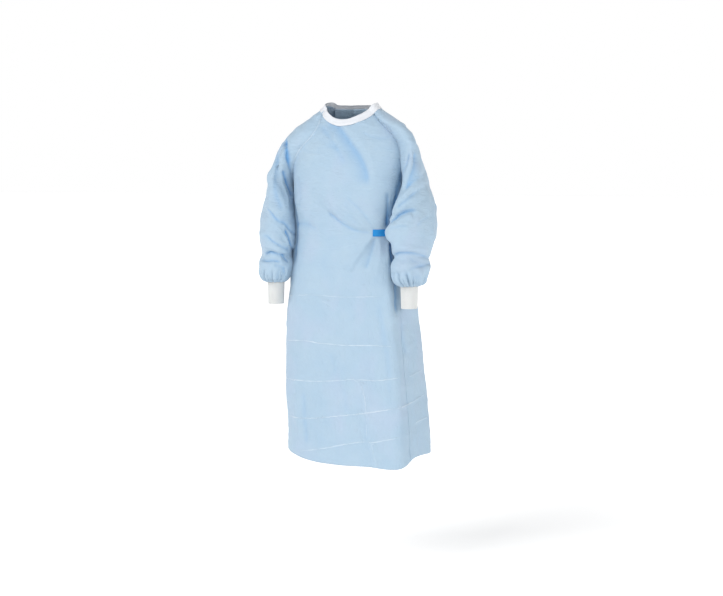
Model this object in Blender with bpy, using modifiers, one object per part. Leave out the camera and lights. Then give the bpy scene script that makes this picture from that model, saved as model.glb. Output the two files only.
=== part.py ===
"""Surgical gown in its worn form, in metres.

+Z is up, -Y is the front and +X is the wearer's left. The origin is the base of the neck, between
the shoulders, where the wearer holds the gown up. The body is one smooth surface in polar angles;
the front panel and the back wings are cut from it along the raglan and side seams, and each sleeve
is a loft of loops that starts from the same raglan lines.
"""

import math

import bpy
import numpy as np
from mathutils import Vector
from mathutils.bvhtree import BVHTree

GOWN = "surgical_gown"

# Cloth
WALL = 0.0016
SEARCH_REACH = 0.05
TAPE_WALL = 0.0012
SEAM_GAP = 0.0003
LAYER_GAP = 0.0042
SEAM_EASE = 0.25
ARMPIT_EASE = 0.0007

# Lengths
ARMPIT_Z = -0.240
HEM_Z = -1.066
BINDING_WIDTH = 0.014
CUFF_LENGTH = 0.068
CUFF_TUCK = 0.010
TAPE_WIDTH = 0.021

# Grid of the panels
RAGLAN_ROWS = 9
SKIRT_ROWS = 17
FRONT_COLUMNS = 26
WING_COLUMNS = 16
OUTER_WING_COLUMNS = 22
SLEEVE_ROWS = 15
SLEEVE_COLUMNS = 24
CUFF_SIDES = 20
CUFF_ROWS = 3

# The body's sections: half width, depth of the front and of the back, squareness, shift to the left
BODY_COLUMNS = ("z", "half_width", "front", "back", "squareness", "shift")
BODY = (
    (0.020, 0.080, 0.052, 0.058, 2.0, 0.000),
    (0.000, 0.090, 0.062, 0.066, 2.0, 0.000),
    (-0.030, 0.118, 0.080, 0.080, 2.1, 0.000),
    (-0.067, 0.158, 0.098, 0.094, 2.2, 0.000),
    (-0.100, 0.176, 0.110, 0.102, 2.4, 0.000),
    (-0.150, 0.184, 0.122, 0.110, 2.6, 0.000),
    (-0.240, 0.181, 0.131, 0.114, 2.7, 0.000),
    (-0.320, 0.174, 0.131, 0.106, 2.7, 0.000),
    (-0.385, 0.165, 0.127, 0.098, 2.7, 0.000),
    (-0.480, 0.180, 0.134, 0.110, 2.8, 0.000),
    (-0.720, 0.200, 0.142, 0.138, 2.9, 0.000),
    (-0.860, 0.206, 0.148, 0.146, 3.0, 0.008),
    (-1.000, 0.210, 0.152, 0.150, 3.0, 0.018),
    (-1.100, 0.210, 0.154, 0.152, 3.0, 0.021),
)

# Height of the hem at angles round the body
HEM_COLUMNS = ("angle", "z")
HEM = (
    (-100.0, -1.050),
    (-70.0, -1.050),
    (-25.0, -1.073),
    (0.0, -1.078),
    (30.0, -1.080),
    (57.0, -1.086),
    (74.0, -1.064),
    (100.0, -1.062),
    (180.0, -1.070),
    (235.0, -1.064),
    (270.0, -1.050),
)

# Long vertical folds of the skirt and waist, as angle_top, angle_hem, z_start, z_full, half_width, height.
# A fold runs from its angle at the top to its angle at the hem and is full from z_full down.
FOLD_REACH = 2.5
SKIRT_FOLDS = (
    (55.0, 58.0, -0.300, -0.520, 9.0, 0.008),
    (42.0, 45.0, -0.340, -0.560, 10.0, -0.004),
    (73.0, 75.0, -0.420, -0.620, 11.0, -0.005),
    (104.0, 101.0, -0.440, -0.760, 12.0, 0.008),
    (136.0, 140.0, -0.300, -0.700, 14.0, -0.007),
    (164.0, 168.0, -0.420, -0.800, 13.0, 0.009),
    (196.0, 192.0, -0.300, -0.720, 15.0, -0.007),
    (228.0, 222.0, -0.460, -0.820, 14.0, 0.009),
    (256.0, 258.0, -0.480, -0.760, 12.0, -0.006),
    (282.0, 284.0, -0.420, -0.700, 12.0, 0.006),
    (312.0, 308.0, -0.600, -0.860, 13.0, -0.004),
)

# Pulled folds of the front panel, as angle_a, z_a, angle_b, z_b, half_width, height
PULLED_ARC = 75.0
PULL_TAPERS = (4.0, 6.0)
PULLS = (
    (-14.0, -0.060, 14.0, -0.210, 0.022, 0.006),
    (-26.0, -0.270, 42.0, -0.366, 0.016, 0.005),
    (-6.0, -0.300, 44.0, -0.362, 0.013, -0.004),
    (40.0, -0.395, 12.0, -0.490, 0.014, 0.005),
)

# Raglan lines, wearer's right and left: share of the way from the neck, then angle and z in front and behind
RAGLAN_COLUMNS = ("share", "front_angle", "front_z", "back_angle", "back_z")
RAGLAN = {
    "right": (
        (0.00, 60.0, -0.010, 118.0, 0.002),
        (0.20, 45.0, -0.050, 128.0, -0.040),
        (0.40, 46.0, -0.088, 133.0, -0.085),
        (0.60, 56.0, -0.126, 130.0, -0.130),
        (0.80, 66.0, -0.176, 119.0, -0.180),
        (0.92, 78.0, -0.216, 104.0, -0.218),
        (1.00, 90.0, ARMPIT_Z, 90.0, ARMPIT_Z),
    ),
    "left": (
        (0.00, 64.0, -0.010, 118.0, 0.002),
        (0.20, 66.0, -0.046, 128.0, -0.040),
        (0.40, 71.0, -0.082, 133.0, -0.085),
        (0.60, 74.0, -0.124, 130.0, -0.130),
        (0.80, 75.0, -0.176, 119.0, -0.180),
        (0.92, 81.0, -0.216, 104.0, -0.218),
        (1.00, 90.0, ARMPIT_Z, 90.0, ARMPIT_Z),
    ),
}

# The sleeve's upper edge over the shoulder, and its half width from front to back
RIDGE_COLUMNS = ("share", "x", "y", "z", "half_depth")
RIDGE = (
    (0.00, 0.086, -0.004, 0.006, 0.036),
    (0.20, 0.130, -0.008, -0.026, 0.066),
    (0.40, 0.172, -0.012, -0.052, 0.084),
    (0.60, 0.206, -0.018, -0.094, 0.092),
    (0.80, 0.230, -0.026, -0.152, 0.095),
    (0.92, 0.243, -0.032, -0.205, 0.095),
    (1.00, 0.250, -0.036, -0.236, 0.094),
)

# The sleeve below the armpit: middle, half thickness, half depth, turn of the front towards the body
ARM_COLUMNS = ("z", "x", "y", "half_thick", "half_depth", "turn")
ARM = (
    (-0.240, 0.2165, -0.018, 0.0340, 0.094, 4.0),
    (-0.290, 0.2250, -0.046, 0.0440, 0.088, 14.0),
    (-0.350, 0.2265, -0.066, 0.0500, 0.083, 22.0),
    (-0.410, 0.2250, -0.078, 0.0490, 0.076, 24.0),
    (-0.450, 0.2230, -0.084, 0.0420, 0.064, 22.0),
    (-0.472, 0.2230, -0.087, 0.0500, 0.068, 20.0),
    (-0.500, 0.2220, -0.089, 0.0450, 0.060, 16.0),
    (-0.520, 0.2210, -0.090, 0.0370, 0.046, 12.0),
    (-0.532, 0.2200, -0.090, 0.0278, 0.0318, 8.0),
)
LOOP_EASE = 1.0005
CLOSED_HALF = 1e-4
FORWARD = np.array([0.0, -1.0, 0.0])
WRIST_HALF_THICK = 0.0262
WRIST_HALF_DEPTH = 0.0302
CUFF_END_SHARE = 0.93

# Sleeve folds, as z_a, round_a, z_b, round_b, half_width, height. Round the sleeve, 0 is the front
# seam and 0.5 the outside.
SLEEVE_GIRTH = 0.42
SLEEVE_FOLD_TAPER = 4.0
SLEEVE_FOLD_START = 0.4
SEAM_FADE = 9.0
SLEEVE_FOLDS = {
    "right": (
        (-0.100, 0.30, -0.230, 0.14, 0.020, -0.009),
        (-0.190, 0.34, -0.330, 0.10, 0.018, 0.007),
        (-0.300, 0.42, -0.400, 0.12, 0.016, -0.006),
        (-0.380, 0.44, -0.445, 0.10, 0.014, 0.006),
        (-0.452, 0.02, -0.452, 0.48, 0.010, -0.005),
    ),
    "left": (
        (-0.170, 0.46, -0.330, 0.14, 0.018, 0.007),
        (-0.270, 0.50, -0.350, 0.10, 0.016, -0.006),
        (-0.330, 0.46, -0.380, 0.08, 0.016, 0.006),
        (-0.325, 0.17, -0.400, 0.15, 0.022, 0.010),
        (-0.446, 0.04, -0.446, 0.52, 0.010, -0.006),
        (-0.468, 0.54, -0.500, 0.16, 0.012, -0.005),
    ),
}
GATHERS = 11
GATHER_HEIGHT = 0.0022
GATHER_TOP_Z = -0.485
GATHER_RISE = 0.020
GATHER_FALL = 0.012

# The wings: angles of their free edges at heights
EDGE_COLUMNS = ("z", "outer_edge", "inner_edge")
WING_EDGES = (
    (0.010, 156.0, 200.0),
    (-0.060, 152.0, 199.0),
    (-0.150, 140.0, 201.0),
    (-0.240, 118.0, 208.0),
    (-0.300, 98.0, 216.0),
    (-0.372, 77.0, 226.0),
    (-0.480, 74.0, 228.0),
    (-0.720, 71.0, 228.0),
    (-1.100, 69.0, 226.0),
)
OVERLAP_START = 9.0
OVERLAP_RAMP = 20.0

# Neck
NECK_DIP = 0.036
BINDING_LEAN = 34.0
BINDING_STEP = 0.0065
BINDING_WALL = 0.0020

# Closure tab behind the neck: angles, top and bottom
TAB_ANGLES = (140.0, 176.0)
TAB_HEIGHTS = (-0.006, -0.030)
TAB_STEP_TURN = 13.0
TAB_EDGE_EASE = 1.5
TAB_ROWS = 3
TAB_COLUMNS = 12

# Tie, at the wearer's left of the waist
TIE_Z = -0.375
TIE_FRONT_ANGLE = 45.0
TIE_KNOT_ANGLE = 70.0
TIE_WING_ANGLE = 97.0
KNOT_HALF = (0.0100, 0.0070, 0.0120)
KNOT_STAND = 0.0105
TAPE_GAP = 0.0004
LAID_GAP = 0.0006
TIE_LIFT_ANGLE = 54.0
TAPE_LIFT = 0.0056
WING_TAPE_LIFT = 0.0088
TAPE_STEPS = 12
TAPE_LINES = 5
LOOSE_STEPS = 10
KNOT_POWER = 2.5
KNOT_SEGMENTS = 14
KNOT_RINGS = 8

# Free tapes at the knot. Each row is a point of the middle: back along the side, over the cloth, down
LOOSE_COLUMNS = ("back", "lift", "down", "half_width")
LOOSE_TAPES = {
    "tie_loop": (
        (-0.0106, 0.0120, 0.0020, 0.0060),
        (-0.0200, 0.0132, 0.0050, 0.0075),
        (-0.0300, 0.0128, 0.0070, 0.0085),
        (-0.0345, 0.0108, 0.0076, 0.0085),
        (-0.0300, 0.0086, 0.0070, 0.0085),
        (-0.0200, 0.0084, 0.0050, 0.0075),
        (-0.0108, 0.0086, 0.0020, 0.0060),
    ),
    "tie_end": (
        (0.0108, 0.0105, -0.0010, 0.0070),
        (0.0250, 0.0120, -0.0025, 0.0085),
        (0.0420, 0.0100, -0.0030, 0.0095),
        (0.0600, 0.0090, -0.0020, 0.0100),
    ),
    "tie_tail_wide": (
        (0.0000, 0.0090, 0.0130, 0.0070),
        (-0.0010, 0.0080, 0.0280, 0.0090),
        (-0.0020, 0.0066, 0.0520, 0.0105),
        (0.0000, 0.0060, 0.0800, 0.0105),
        (0.0020, 0.0066, 0.1080, 0.0105),
        (0.0010, 0.0060, 0.1320, 0.0105),
    ),
    "tie_tail_narrow": (
        (0.0130, 0.0110, 0.0090, 0.0030),
        (0.0210, 0.0120, 0.0200, 0.0040),
        (0.0300, 0.0110, 0.0340, 0.0050),
        (0.0390, 0.0110, 0.0520, 0.0050),
        (0.0440, 0.0100, 0.0720, 0.0055),
    ),
}

COLOURS = {
    "gown": (0.50, 0.68, 0.84, 1.0),
    "knit": (0.86, 0.86, 0.83, 1.0),
    "binding": (0.90, 0.90, 0.89, 1.0),
    "tape": (0.035, 0.27, 0.58, 1.0),
}
ROUGHNESS = {"gown": 0.72, "knit": 0.90, "binding": 0.80, "tape": 0.62}


def column(table, names, name):
    return np.array([row[names.index(name)] for row in table], float)


def smooth_read(table, names, key, name, at):
    """Reads a column at a value of the key column, on a smooth curve through the rows."""
    keys = column(table, names, key)
    values = column(table, names, name)
    order = np.argsort(keys)
    keys, values = keys[order], values[order]
    slopes = np.gradient(values, keys)
    at = min(max(at, keys[0]), keys[-1])
    i = int(min(np.searchsorted(keys, at, side="right") - 1, len(keys) - 2))
    span = keys[i + 1] - keys[i]
    t = (at - keys[i]) / span
    return (
        (2 * t**3 - 3 * t**2 + 1) * values[i]
        + (t**3 - 2 * t**2 + t) * span * slopes[i]
        + (3 * t**2 - 2 * t**3) * values[i + 1]
        + (t**3 - t**2) * span * slopes[i + 1]
    )


def ease(t):
    t = min(max(t, 0.0), 1.0)
    return t * t * (3 - 2 * t)


def turn_between(a, b):
    """Smallest signed angle from b to a, in degrees."""
    return (a - b + 180.0) % 360.0 - 180.0


def body_read(name, z):
    return smooth_read(BODY, BODY_COLUMNS, "z", name, z)


def skirt_folds(angle, z):
    height = 0.0
    for angle_top, angle_hem, z_start, z_full, half_width, size in SKIRT_FOLDS:
        down = (z_start - z) / (z_start - HEM_Z)
        middle = angle_top + (angle_hem - angle_top) * min(max(down, 0.0), 1.0)
        off = turn_between(angle, middle) / half_width
        if abs(off) < FOLD_REACH:
            height += size * ease((z_start - z) / (z_start - z_full)) * math.exp(-off * off)
    return height


def plain_body_point(angle, z, out=0.0):
    """A point of the smooth body at a polar angle from the front, in degrees, and a height."""
    a = math.radians(angle)
    depth = body_read("front" if math.cos(a) > 0 else "back", z)
    power = body_read("squareness", z)
    across = abs(math.sin(a)) / body_read("half_width", z)
    along = abs(math.cos(a)) / depth
    radius = (across**power + along**power) ** (-1 / power) + out
    return np.array([body_read("shift", z) + radius * math.sin(a), -radius * math.cos(a), z])


def pull_folds(angle, z):
    """Height of the pulled folds at a point of the front, which taper out at their ends."""
    if abs(turn_between(angle, 0.0)) > PULLED_ARC:
        return 0.0
    here = plain_body_point(angle, z)
    height = 0.0
    for angle_a, z_a, angle_b, z_b, half_width, size in PULLS:
        start = plain_body_point(angle_a, z_a)
        end = plain_body_point(angle_b, z_b)
        along = float(np.dot(here - start, end - start) / np.dot(end - start, end - start))
        off = np.linalg.norm(here - start - (end - start) * min(max(along, 0.0), 1.0))
        ends = ease(along * PULL_TAPERS[0]) * ease((1 - along) * PULL_TAPERS[1])
        height += size * math.exp(-((off / half_width) ** 2)) * ends
    return height


def body_point(angle, z, out=0.0):
    return plain_body_point(angle, z, out + skirt_folds(angle, z) + pull_folds(angle, z))


def body_normal(angle, z, step=1.0, rise=0.004):
    """Outward direction of the body at a point."""
    along = body_point(angle + step, z) - body_point(angle - step, z)
    up = body_point(angle, z + rise) - body_point(angle, z - rise)
    normal = np.cross(along, up)
    return normal / np.linalg.norm(normal)


def raglan_read(side, name, share):
    return smooth_read(RAGLAN[side], RAGLAN_COLUMNS, "share", name, share)


def hem_height(angle):
    return smooth_read(HEM, HEM_COLUMNS, "angle", "z", (angle + 90.0) % 360.0 - 90.0)


def seam_rows(side, face):
    """Angle and height of each row's end at a side, from the neck along the raglan, then down the side."""
    sign = 1.0 if side == "left" else -1.0
    rows = []
    for i in range(RAGLAN_ROWS + 1):
        share = i / RAGLAN_ROWS
        angle = raglan_read(side, face + "_angle", share)
        rows.append((sign * angle, raglan_read(side, face + "_z", share)))
    for i in range(1, SKIRT_ROWS + 1):
        rows.append((sign * 90.0, skirt_height(sign * 90.0, i)))
    return rows


def skirt_height(angle, row):
    return ARMPIT_Z + (hem_height(angle) - ARMPIT_Z) * row / SKIRT_ROWS


def panel_grid(first_edge, last_edge, columns, dip, out):
    """Points between two edges of the body surface. The dip bends the top rows, and out lifts a layer."""
    grid = []
    for row, ((angle_a, z_a), (angle_b, z_b)) in enumerate(zip(first_edge, last_edge)):
        fade = (1 - ease(row / RAGLAN_ROWS)) * dip
        line = []
        for i in range(columns + 1):
            u = i / columns
            angle = angle_a + (angle_b - angle_a) * u
            z = z_a + (z_b - z_a) * u - fade * math.sin(math.pi * u)
            if row > RAGLAN_ROWS:
                z = skirt_height(angle, row - RAGLAN_ROWS)
            line.append(body_point(angle, z, out(angle, z)))
        grid.append(line)
    return np.array(grid)


def seam_inset(rows):
    """How far each row's end lies from the seam's line, a little more by the armpit where walls meet."""
    inset = np.full(rows, SEAM_GAP / 2 + WALL * SEAM_EASE)
    inset[RAGLAN_ROWS - 1 : RAGLAN_ROWS + 1] += ARMPIT_EASE
    return inset[:, None]


def pull_in(points, inward, amount):
    """Moves an edge's points back towards their inner neighbours."""
    step = inward - points
    return points + step / np.linalg.norm(step, axis=-1, keepdims=True) * amount


def surface_mesh(name, grid, wrap_from=None):
    """A mesh over a grid of points. From row wrap_from on, the last column is the first one."""
    rows, columns = grid.shape[:2]
    points = []
    index = {}
    for r in range(rows):
        for c in range(columns):
            if wrap_from is not None and r >= wrap_from and c == columns - 1:
                index[r, c] = index[r, 0]
                continue
            index[r, c] = len(points)
            points.append(tuple(grid[r, c]))
    faces = []
    for r in range(rows - 1):
        for c in range(columns - 1):
            upper, upper_next = index[r, c], index[r, c + 1]
            lower, lower_next = index[r + 1, c], index[r + 1, c + 1]
            for face in ((upper, lower, lower_next), (upper, lower_next, upper_next)):
                if len(set(face)) == 3:
                    faces.append(face)
    mesh = bpy.data.meshes.new(name)
    mesh.from_pydata(points, [], faces)
    mesh.update()
    return mesh


def finish_for(slot):
    material = bpy.data.materials.get(slot)
    if material is None:
        material = bpy.data.materials.new(slot)
        material.use_nodes = True
        shader = material.node_tree.nodes["Principled BSDF"]
        shader.inputs["Base Color"].default_value = COLOURS[slot]
        shader.inputs["Roughness"].default_value = ROUGHNESS[slot]
        shader.inputs["Metallic"].default_value = 0.0
        material.diffuse_color = COLOURS[slot]
    return material


def add_cloth(name, grid, slot, wall=WALL, wrap_from=None, offset=-1.0):
    """An open surface with Solidify, which grows inwards from the outer face."""
    mesh = surface_mesh(name, grid, wrap_from)
    mesh.materials.append(finish_for(slot))
    mesh.shade_smooth()
    piece = bpy.data.objects.new(name, mesh)
    bpy.data.collections[GOWN].objects.link(piece)
    solid = piece.modifiers.new("wall", "SOLIDIFY")
    solid.thickness = wall
    solid.offset = offset
    solid.use_even_offset = False
    solid.use_rim = True
    return piece


def cloth_tree(*names):
    """A search tree over the outer faces of some pieces."""
    points, faces = [], []
    for name in names:
        mesh = bpy.data.objects[name].data
        start = len(points)
        points += [vertex.co.copy() for vertex in mesh.vertices]
        faces += [[start + i for i in face.vertices] for face in mesh.polygons]
    return BVHTree.FromPolygons(points, faces)


def laid_point(tree, angle, z, out):
    """The outermost point of the cloth at a polar angle and a height, moved out."""
    inside = plain_body_point(angle, z)
    normal = body_normal(angle, z)
    level = unit(normal * np.array([1.0, 1.0, 0.0]))
    start = inside + level * SEARCH_REACH
    hit = tree.ray_cast(Vector(start), Vector(-level), SEARCH_REACH * 2)[0]
    return None if hit is None else np.array(hit) + normal * out


def front_panel():
    right = seam_rows("right", "front")
    left = seam_rows("left", "front")
    grid = panel_grid(right, left, FRONT_COLUMNS, NECK_DIP, lambda angle, z: 0.0)
    inset = seam_inset(len(grid))
    grid[:, 0] = pull_in(grid[:, 0], grid[:, 1], inset)
    grid[:, -1] = pull_in(grid[:, -1], grid[:, -2], inset)
    add_cloth("front", grid, "gown")
    return grid[0, ::-1]


def edge_angle(name, z):
    return smooth_read(WING_EDGES, EDGE_COLUMNS, "z", name, z)


def back_wings():
    """The inner wing runs from the left side seam, the outer one from the right, over it to the left."""
    left = seam_rows("left", "back")
    inset = seam_inset(len(left))
    free = [(edge_angle("inner_edge", z), z) for _, z in left]
    inner = panel_grid(left, free, WING_COLUMNS, 0.0, lambda angle, z: 0.0)
    inner[:, 0] = pull_in(inner[:, 0], inner[:, 1], inset)
    add_cloth("back_wing_inner", inner, "gown")

    right = [(360.0 + angle, z) for angle, z in seam_rows("right", "back")]
    free = [(edge_angle("outer_edge", z), z) for _, z in right]

    def lift(angle, z):
        seam = np.interp(-z, [-row_z for _, row_z in right], [row_angle for row_angle, _ in right])
        return (WALL + LAYER_GAP) * ease((seam - angle - OVERLAP_START) / OVERLAP_RAMP)

    outer = panel_grid(free, right, OUTER_WING_COLUMNS, 0.0, lift)
    outer[:, -1] = pull_in(outer[:, -1], outer[:, -2], inset)
    add_cloth("back_wing_outer", outer, "gown")
    return inner[0, ::-1], outer[0, ::-1]


def unit(vector):
    return vector / np.linalg.norm(vector)


def loop_points(middle, thick, depth, start, columns):
    """Points of a sleeve loop, from the front edge over the outside to the back edge."""
    angles = np.linspace(start, 2 * math.pi - start, columns + 1)
    return np.array([middle + thick * math.cos(a) + depth * math.sin(a) for a in angles])


def raglan_end(side, face, share):
    """Where a sleeve loop's edge lies on the body, taken to the wearer's left."""
    sign = 1.0 if side == "left" else -1.0
    angle = sign * raglan_read(side, face + "_angle", share)
    return body_point(angle, raglan_read(side, face + "_z", share)) * np.array([sign, 1.0, 1.0])


def shoulder_loop(side, share):
    """An open loop over the shoulder, from the front raglan line round to the back one."""
    front = raglan_end(side, "front", share)
    back = raglan_end(side, "back", share)
    ridge = {name: smooth_read(RIDGE, RIDGE_COLUMNS, "share", name, share) for name in RIDGE_COLUMNS}
    top = np.array([ridge["x"], ridge["y"], ridge["z"]])
    half = np.linalg.norm(front - back) / 2
    reach = max(ridge["half_depth"], half * LOOP_EASE)
    start = math.asin(min(half / reach, 1.0))
    across = unit(front - back) if half > CLOSED_HALF else FORWARD
    thick = ((front + back) / 2 - top) / (1 + math.cos(start))
    return loop_points(top + thick, thick, across * reach, start, SLEEVE_COLUMNS)


def arm_loop(z):
    """A closed loop of the sleeve below the armpit."""
    read = {name: smooth_read(ARM, ARM_COLUMNS, "z", name, z) for name in ARM_COLUMNS}
    turn = math.radians(read["turn"])
    inward = np.array([-math.cos(turn), math.sin(turn), 0.0]) * read["half_thick"]
    forward = np.array([-math.sin(turn), -math.cos(turn), 0.0]) * read["half_depth"]
    return loop_points(np.array([read["x"], read["y"], z]), inward, forward, 0.0, SLEEVE_COLUMNS)


def sleeve_loops(side):
    """Loops down one sleeve on the wearer's left; the right one is mirrored after."""
    loops = [shoulder_loop(side, i / RAGLAN_ROWS) for i in range(RAGLAN_ROWS + 1)]
    loops += [arm_loop(z) for z in np.linspace(ARMPIT_Z, ARM[-1][0], SLEEVE_ROWS + 1)[1:]]
    return np.array(loops)


def grid_normals(grid):
    across = np.gradient(grid, axis=1)
    down = np.gradient(grid, axis=0)
    normals = np.cross(down, across)
    return normals / np.maximum(np.linalg.norm(normals, axis=-1, keepdims=True), 1e-9)


def sleeve_fold(side, z, place):
    """Height of a sleeve's folds at a height and a place round it."""
    here = np.array([z, place * SLEEVE_GIRTH])
    height = 0.0
    for z_a, round_a, z_b, round_b, half_width, size in SLEEVE_FOLDS[side]:
        start = np.array([z_a, round_a * SLEEVE_GIRTH])
        step = np.array([z_b, round_b * SLEEVE_GIRTH]) - start
        along = float(np.dot(here - start, step) / np.dot(step, step))
        off = np.linalg.norm(here - start - step * min(max(along, 0.0), 1.0))
        ends = ease(along * SLEEVE_FOLD_TAPER + SLEEVE_FOLD_START)
        ends *= ease((1 - along) * SLEEVE_FOLD_TAPER + SLEEVE_FOLD_START)
        height += size * math.exp(-((off / half_width) ** 2)) * ends
    return height


def sleeve_relief(grid, side):
    """Moves the loops' points out or in along the folds and the gathers over the cuff."""
    normals = grid_normals(grid)
    rows, columns = grid.shape[:2]
    for r in range(1, rows):
        for c in range(columns):
            place = c / (columns - 1)
            z = grid[r, c, 2]
            by_seam = ease(min(place, 1 - place) * SEAM_FADE) if r <= RAGLAN_ROWS + 1 else 1.0
            gather = ease((GATHER_TOP_Z - z) / GATHER_RISE) * ease((z - ARM[-1][0]) / GATHER_FALL)
            height = sleeve_fold(side, z, place) * by_seam
            height += gather * GATHER_HEIGHT * math.sin(2 * math.pi * GATHERS * place)
            grid[r, c] = grid[r, c] + normals[r, c] * height
    grid[RAGLAN_ROWS:, -1] = grid[RAGLAN_ROWS:, 0]
    return grid


def sleeve(side):
    grid = sleeve_loops(side)
    grid = sleeve_relief(grid, side)
    last = RAGLAN_ROWS
    inset = seam_inset(last + 1)
    grid[:last, 0] = pull_in(grid[:last, 0], grid[:last, 1], inset[:last])
    grid[:last, -1] = pull_in(grid[:last, -1], grid[:last, -2], inset[:last])
    grid[last, 0] = grid[last, -1] = pull_in(grid[last, 0], grid[last + 1, 0], inset[last])
    if side == "right":
        grid = (grid * np.array([-1.0, 1.0, 1.0]))[:, ::-1]
    add_cloth("sleeve_" + side, grid, "gown", wrap_from=RAGLAN_ROWS)
    cuff(side)
    return grid[0, ::-1]


def cuff(side):
    """A knit tube that starts inside the sleeve's end and narrows a little towards the hand."""
    sign = 1.0 if side == "left" else -1.0
    end = dict(zip(ARM_COLUMNS, ARM[-1]))
    rings = []
    for i in range(CUFF_ROWS + 1):
        share = i / CUFF_ROWS
        z = end["z"] + CUFF_TUCK - (CUFF_LENGTH + CUFF_TUCK) * share
        size = 1 + (CUFF_END_SHARE - 1) * ease(share)
        turn = math.radians(end["turn"])
        inward = np.array([-math.cos(turn), math.sin(turn), 0.0]) * WRIST_HALF_THICK * size
        forward = np.array([-math.sin(turn), -math.cos(turn), 0.0]) * WRIST_HALF_DEPTH * size
        middle = np.array([end["x"], end["y"], z])
        rings.append(loop_points(middle, inward, forward, 0.0, CUFF_SIDES))
    grid = np.array(rings)
    if side == "right":
        grid = (grid * np.array([-1.0, 1.0, 1.0]))[:, ::-1]
    add_cloth("cuff_" + side, grid, "knit", wrap_from=0)


def neck_binding(edges):
    """A doubled strip that continues the neck edge up, from the inner wing's end round to the outer's."""
    chain = [edges[0][0]]
    for edge in edges:
        for point in edge:
            if np.linalg.norm(point - chain[-1]) > BINDING_STEP:
                chain.append(point)
    chain = np.array(chain)
    around = np.gradient(chain, axis=0)
    radial = chain * np.array([1.0, 1.0, 0.0])
    radial /= np.linalg.norm(radial, axis=1, keepdims=True)
    lean = math.radians(BINDING_LEAN)
    up = np.array([0.0, 0.0, math.cos(lean)]) - radial * math.sin(lean)
    up -= around * (np.sum(up * around, axis=1) / np.sum(around * around, axis=1))[:, None]
    up /= np.linalg.norm(up, axis=1, keepdims=True)
    grid = np.array([chain + up * (SEAM_GAP + BINDING_WIDTH * share) for share in (1.0, 0.5, 0.0)])
    add_cloth("neck_binding", grid[:, ::-1], "binding", wall=BINDING_WALL)


def neck_tab():
    """A short closure strip, stitched on the outer wing and laid over the inner one."""
    tree = cloth_tree("back_wing_outer", "back_wing_inner")
    grid = []
    for z in np.linspace(TAB_HEIGHTS[0], TAB_HEIGHTS[1], TAB_ROWS + 1):
        edge = edge_angle("outer_edge", z) + TAB_EDGE_EASE
        line = []
        for angle in np.linspace(TAB_ANGLES[0], TAB_ANGLES[1], TAB_COLUMNS + 1):
            step_down = ease((angle - edge) / TAB_STEP_TURN + 1) if angle < edge else 0.0
            out = WALL + LAID_GAP + (WALL + LAYER_GAP) * step_down
            line.append(laid_point(tree, angle, z, out))
        grid.append(line)
    add_cloth("neck_tab", np.array(grid), "binding")


def laid_tape(name, angle_a, angle_b, point_at):
    """A tape across the cloth at the height of the tie, from a function of angle and height."""
    angles = np.linspace(angle_a, angle_b, TAPE_STEPS + 1)
    heights = np.linspace(TIE_Z + TAPE_WIDTH / 2, TIE_Z - TAPE_WIDTH / 2, TAPE_LINES)
    grid = np.array([[point_at(angle, z) for angle in angles] for z in heights])
    add_cloth(name, grid, "tape", wall=TAPE_WALL)


def knot_frame():
    """The knot's middle and its directions: back along the side, out and down."""
    out = body_normal(TIE_KNOT_ANGLE, TIE_Z)
    out[2] = 0.0
    out = unit(out)
    down = np.array([0.0, 0.0, -1.0])
    back = np.cross(out, down)
    middle = body_point(TIE_KNOT_ANGLE, TIE_Z) + out * KNOT_STAND
    return middle, back, out, down


def loose_tape(name, tree, rows):
    """A free tape that leaves the knot along a short list of points over the cloth."""
    middle, back, out, down = knot_frame()
    radius = float(np.linalg.norm(body_point(TIE_KNOT_ANGLE, TIE_Z)[:2]))
    steps = LOOSE_STEPS
    names = ("k",) + LOOSE_COLUMNS
    numbered = [(k,) + row for k, row in enumerate(rows)]
    path = []
    for i in range(steps + 1):
        at = i / steps * (len(rows) - 1)
        read = {key: smooth_read(numbered, names, "k", key, at) for key in LOOSE_COLUMNS}
        angle = TIE_KNOT_ANGLE + math.degrees(read["back"] / radius)
        flat = laid_point(tree, angle, TIE_Z - read["down"], 0.0)
        path.append((flat + out * read["lift"], read["half_width"]))
    grid = [[], [], []]
    for i, (point, half) in enumerate(path):
        ahead = unit(path[min(i + 1, steps)][0] - path[max(i - 1, 0)][0])
        side = unit(np.cross(out, ahead))
        for line, share in zip(grid, (1.0, 0.0, -1.0)):
            line.append(point + side * half * share)
    add_cloth(name, np.array(grid), "tape", wall=TAPE_WALL, offset=0.0)


def knot():
    middle, back, out, down = knot_frame()
    bpy.ops.mesh.primitive_uv_sphere_add(segments=KNOT_SEGMENTS, ring_count=KNOT_RINGS, radius=1.0)
    piece = bpy.context.object
    piece.name = "tie_knot"
    piece.data.name = "tie_knot"
    for vertex in piece.data.vertices:
        x, y, z = (math.copysign(abs(value) ** (2 / KNOT_POWER), value) for value in vertex.co)
        place = middle + back * x * KNOT_HALF[0] - out * y * KNOT_HALF[1] - down * z * KNOT_HALF[2]
        vertex.co = place
    piece.data.shade_smooth()
    piece.data.materials.append(finish_for("tape"))
    for holder in list(piece.users_collection):
        holder.objects.unlink(piece)
    bpy.data.collections[GOWN].objects.link(piece)


def knot_reach(lift):
    """How far the knot reaches along the side at a height over the cloth."""
    off = min(abs(lift - KNOT_STAND) / KNOT_HALF[1], 1.0)
    return KNOT_HALF[0] * (1 - off**KNOT_POWER) ** (1 / KNOT_POWER) + TAPE_GAP


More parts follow.
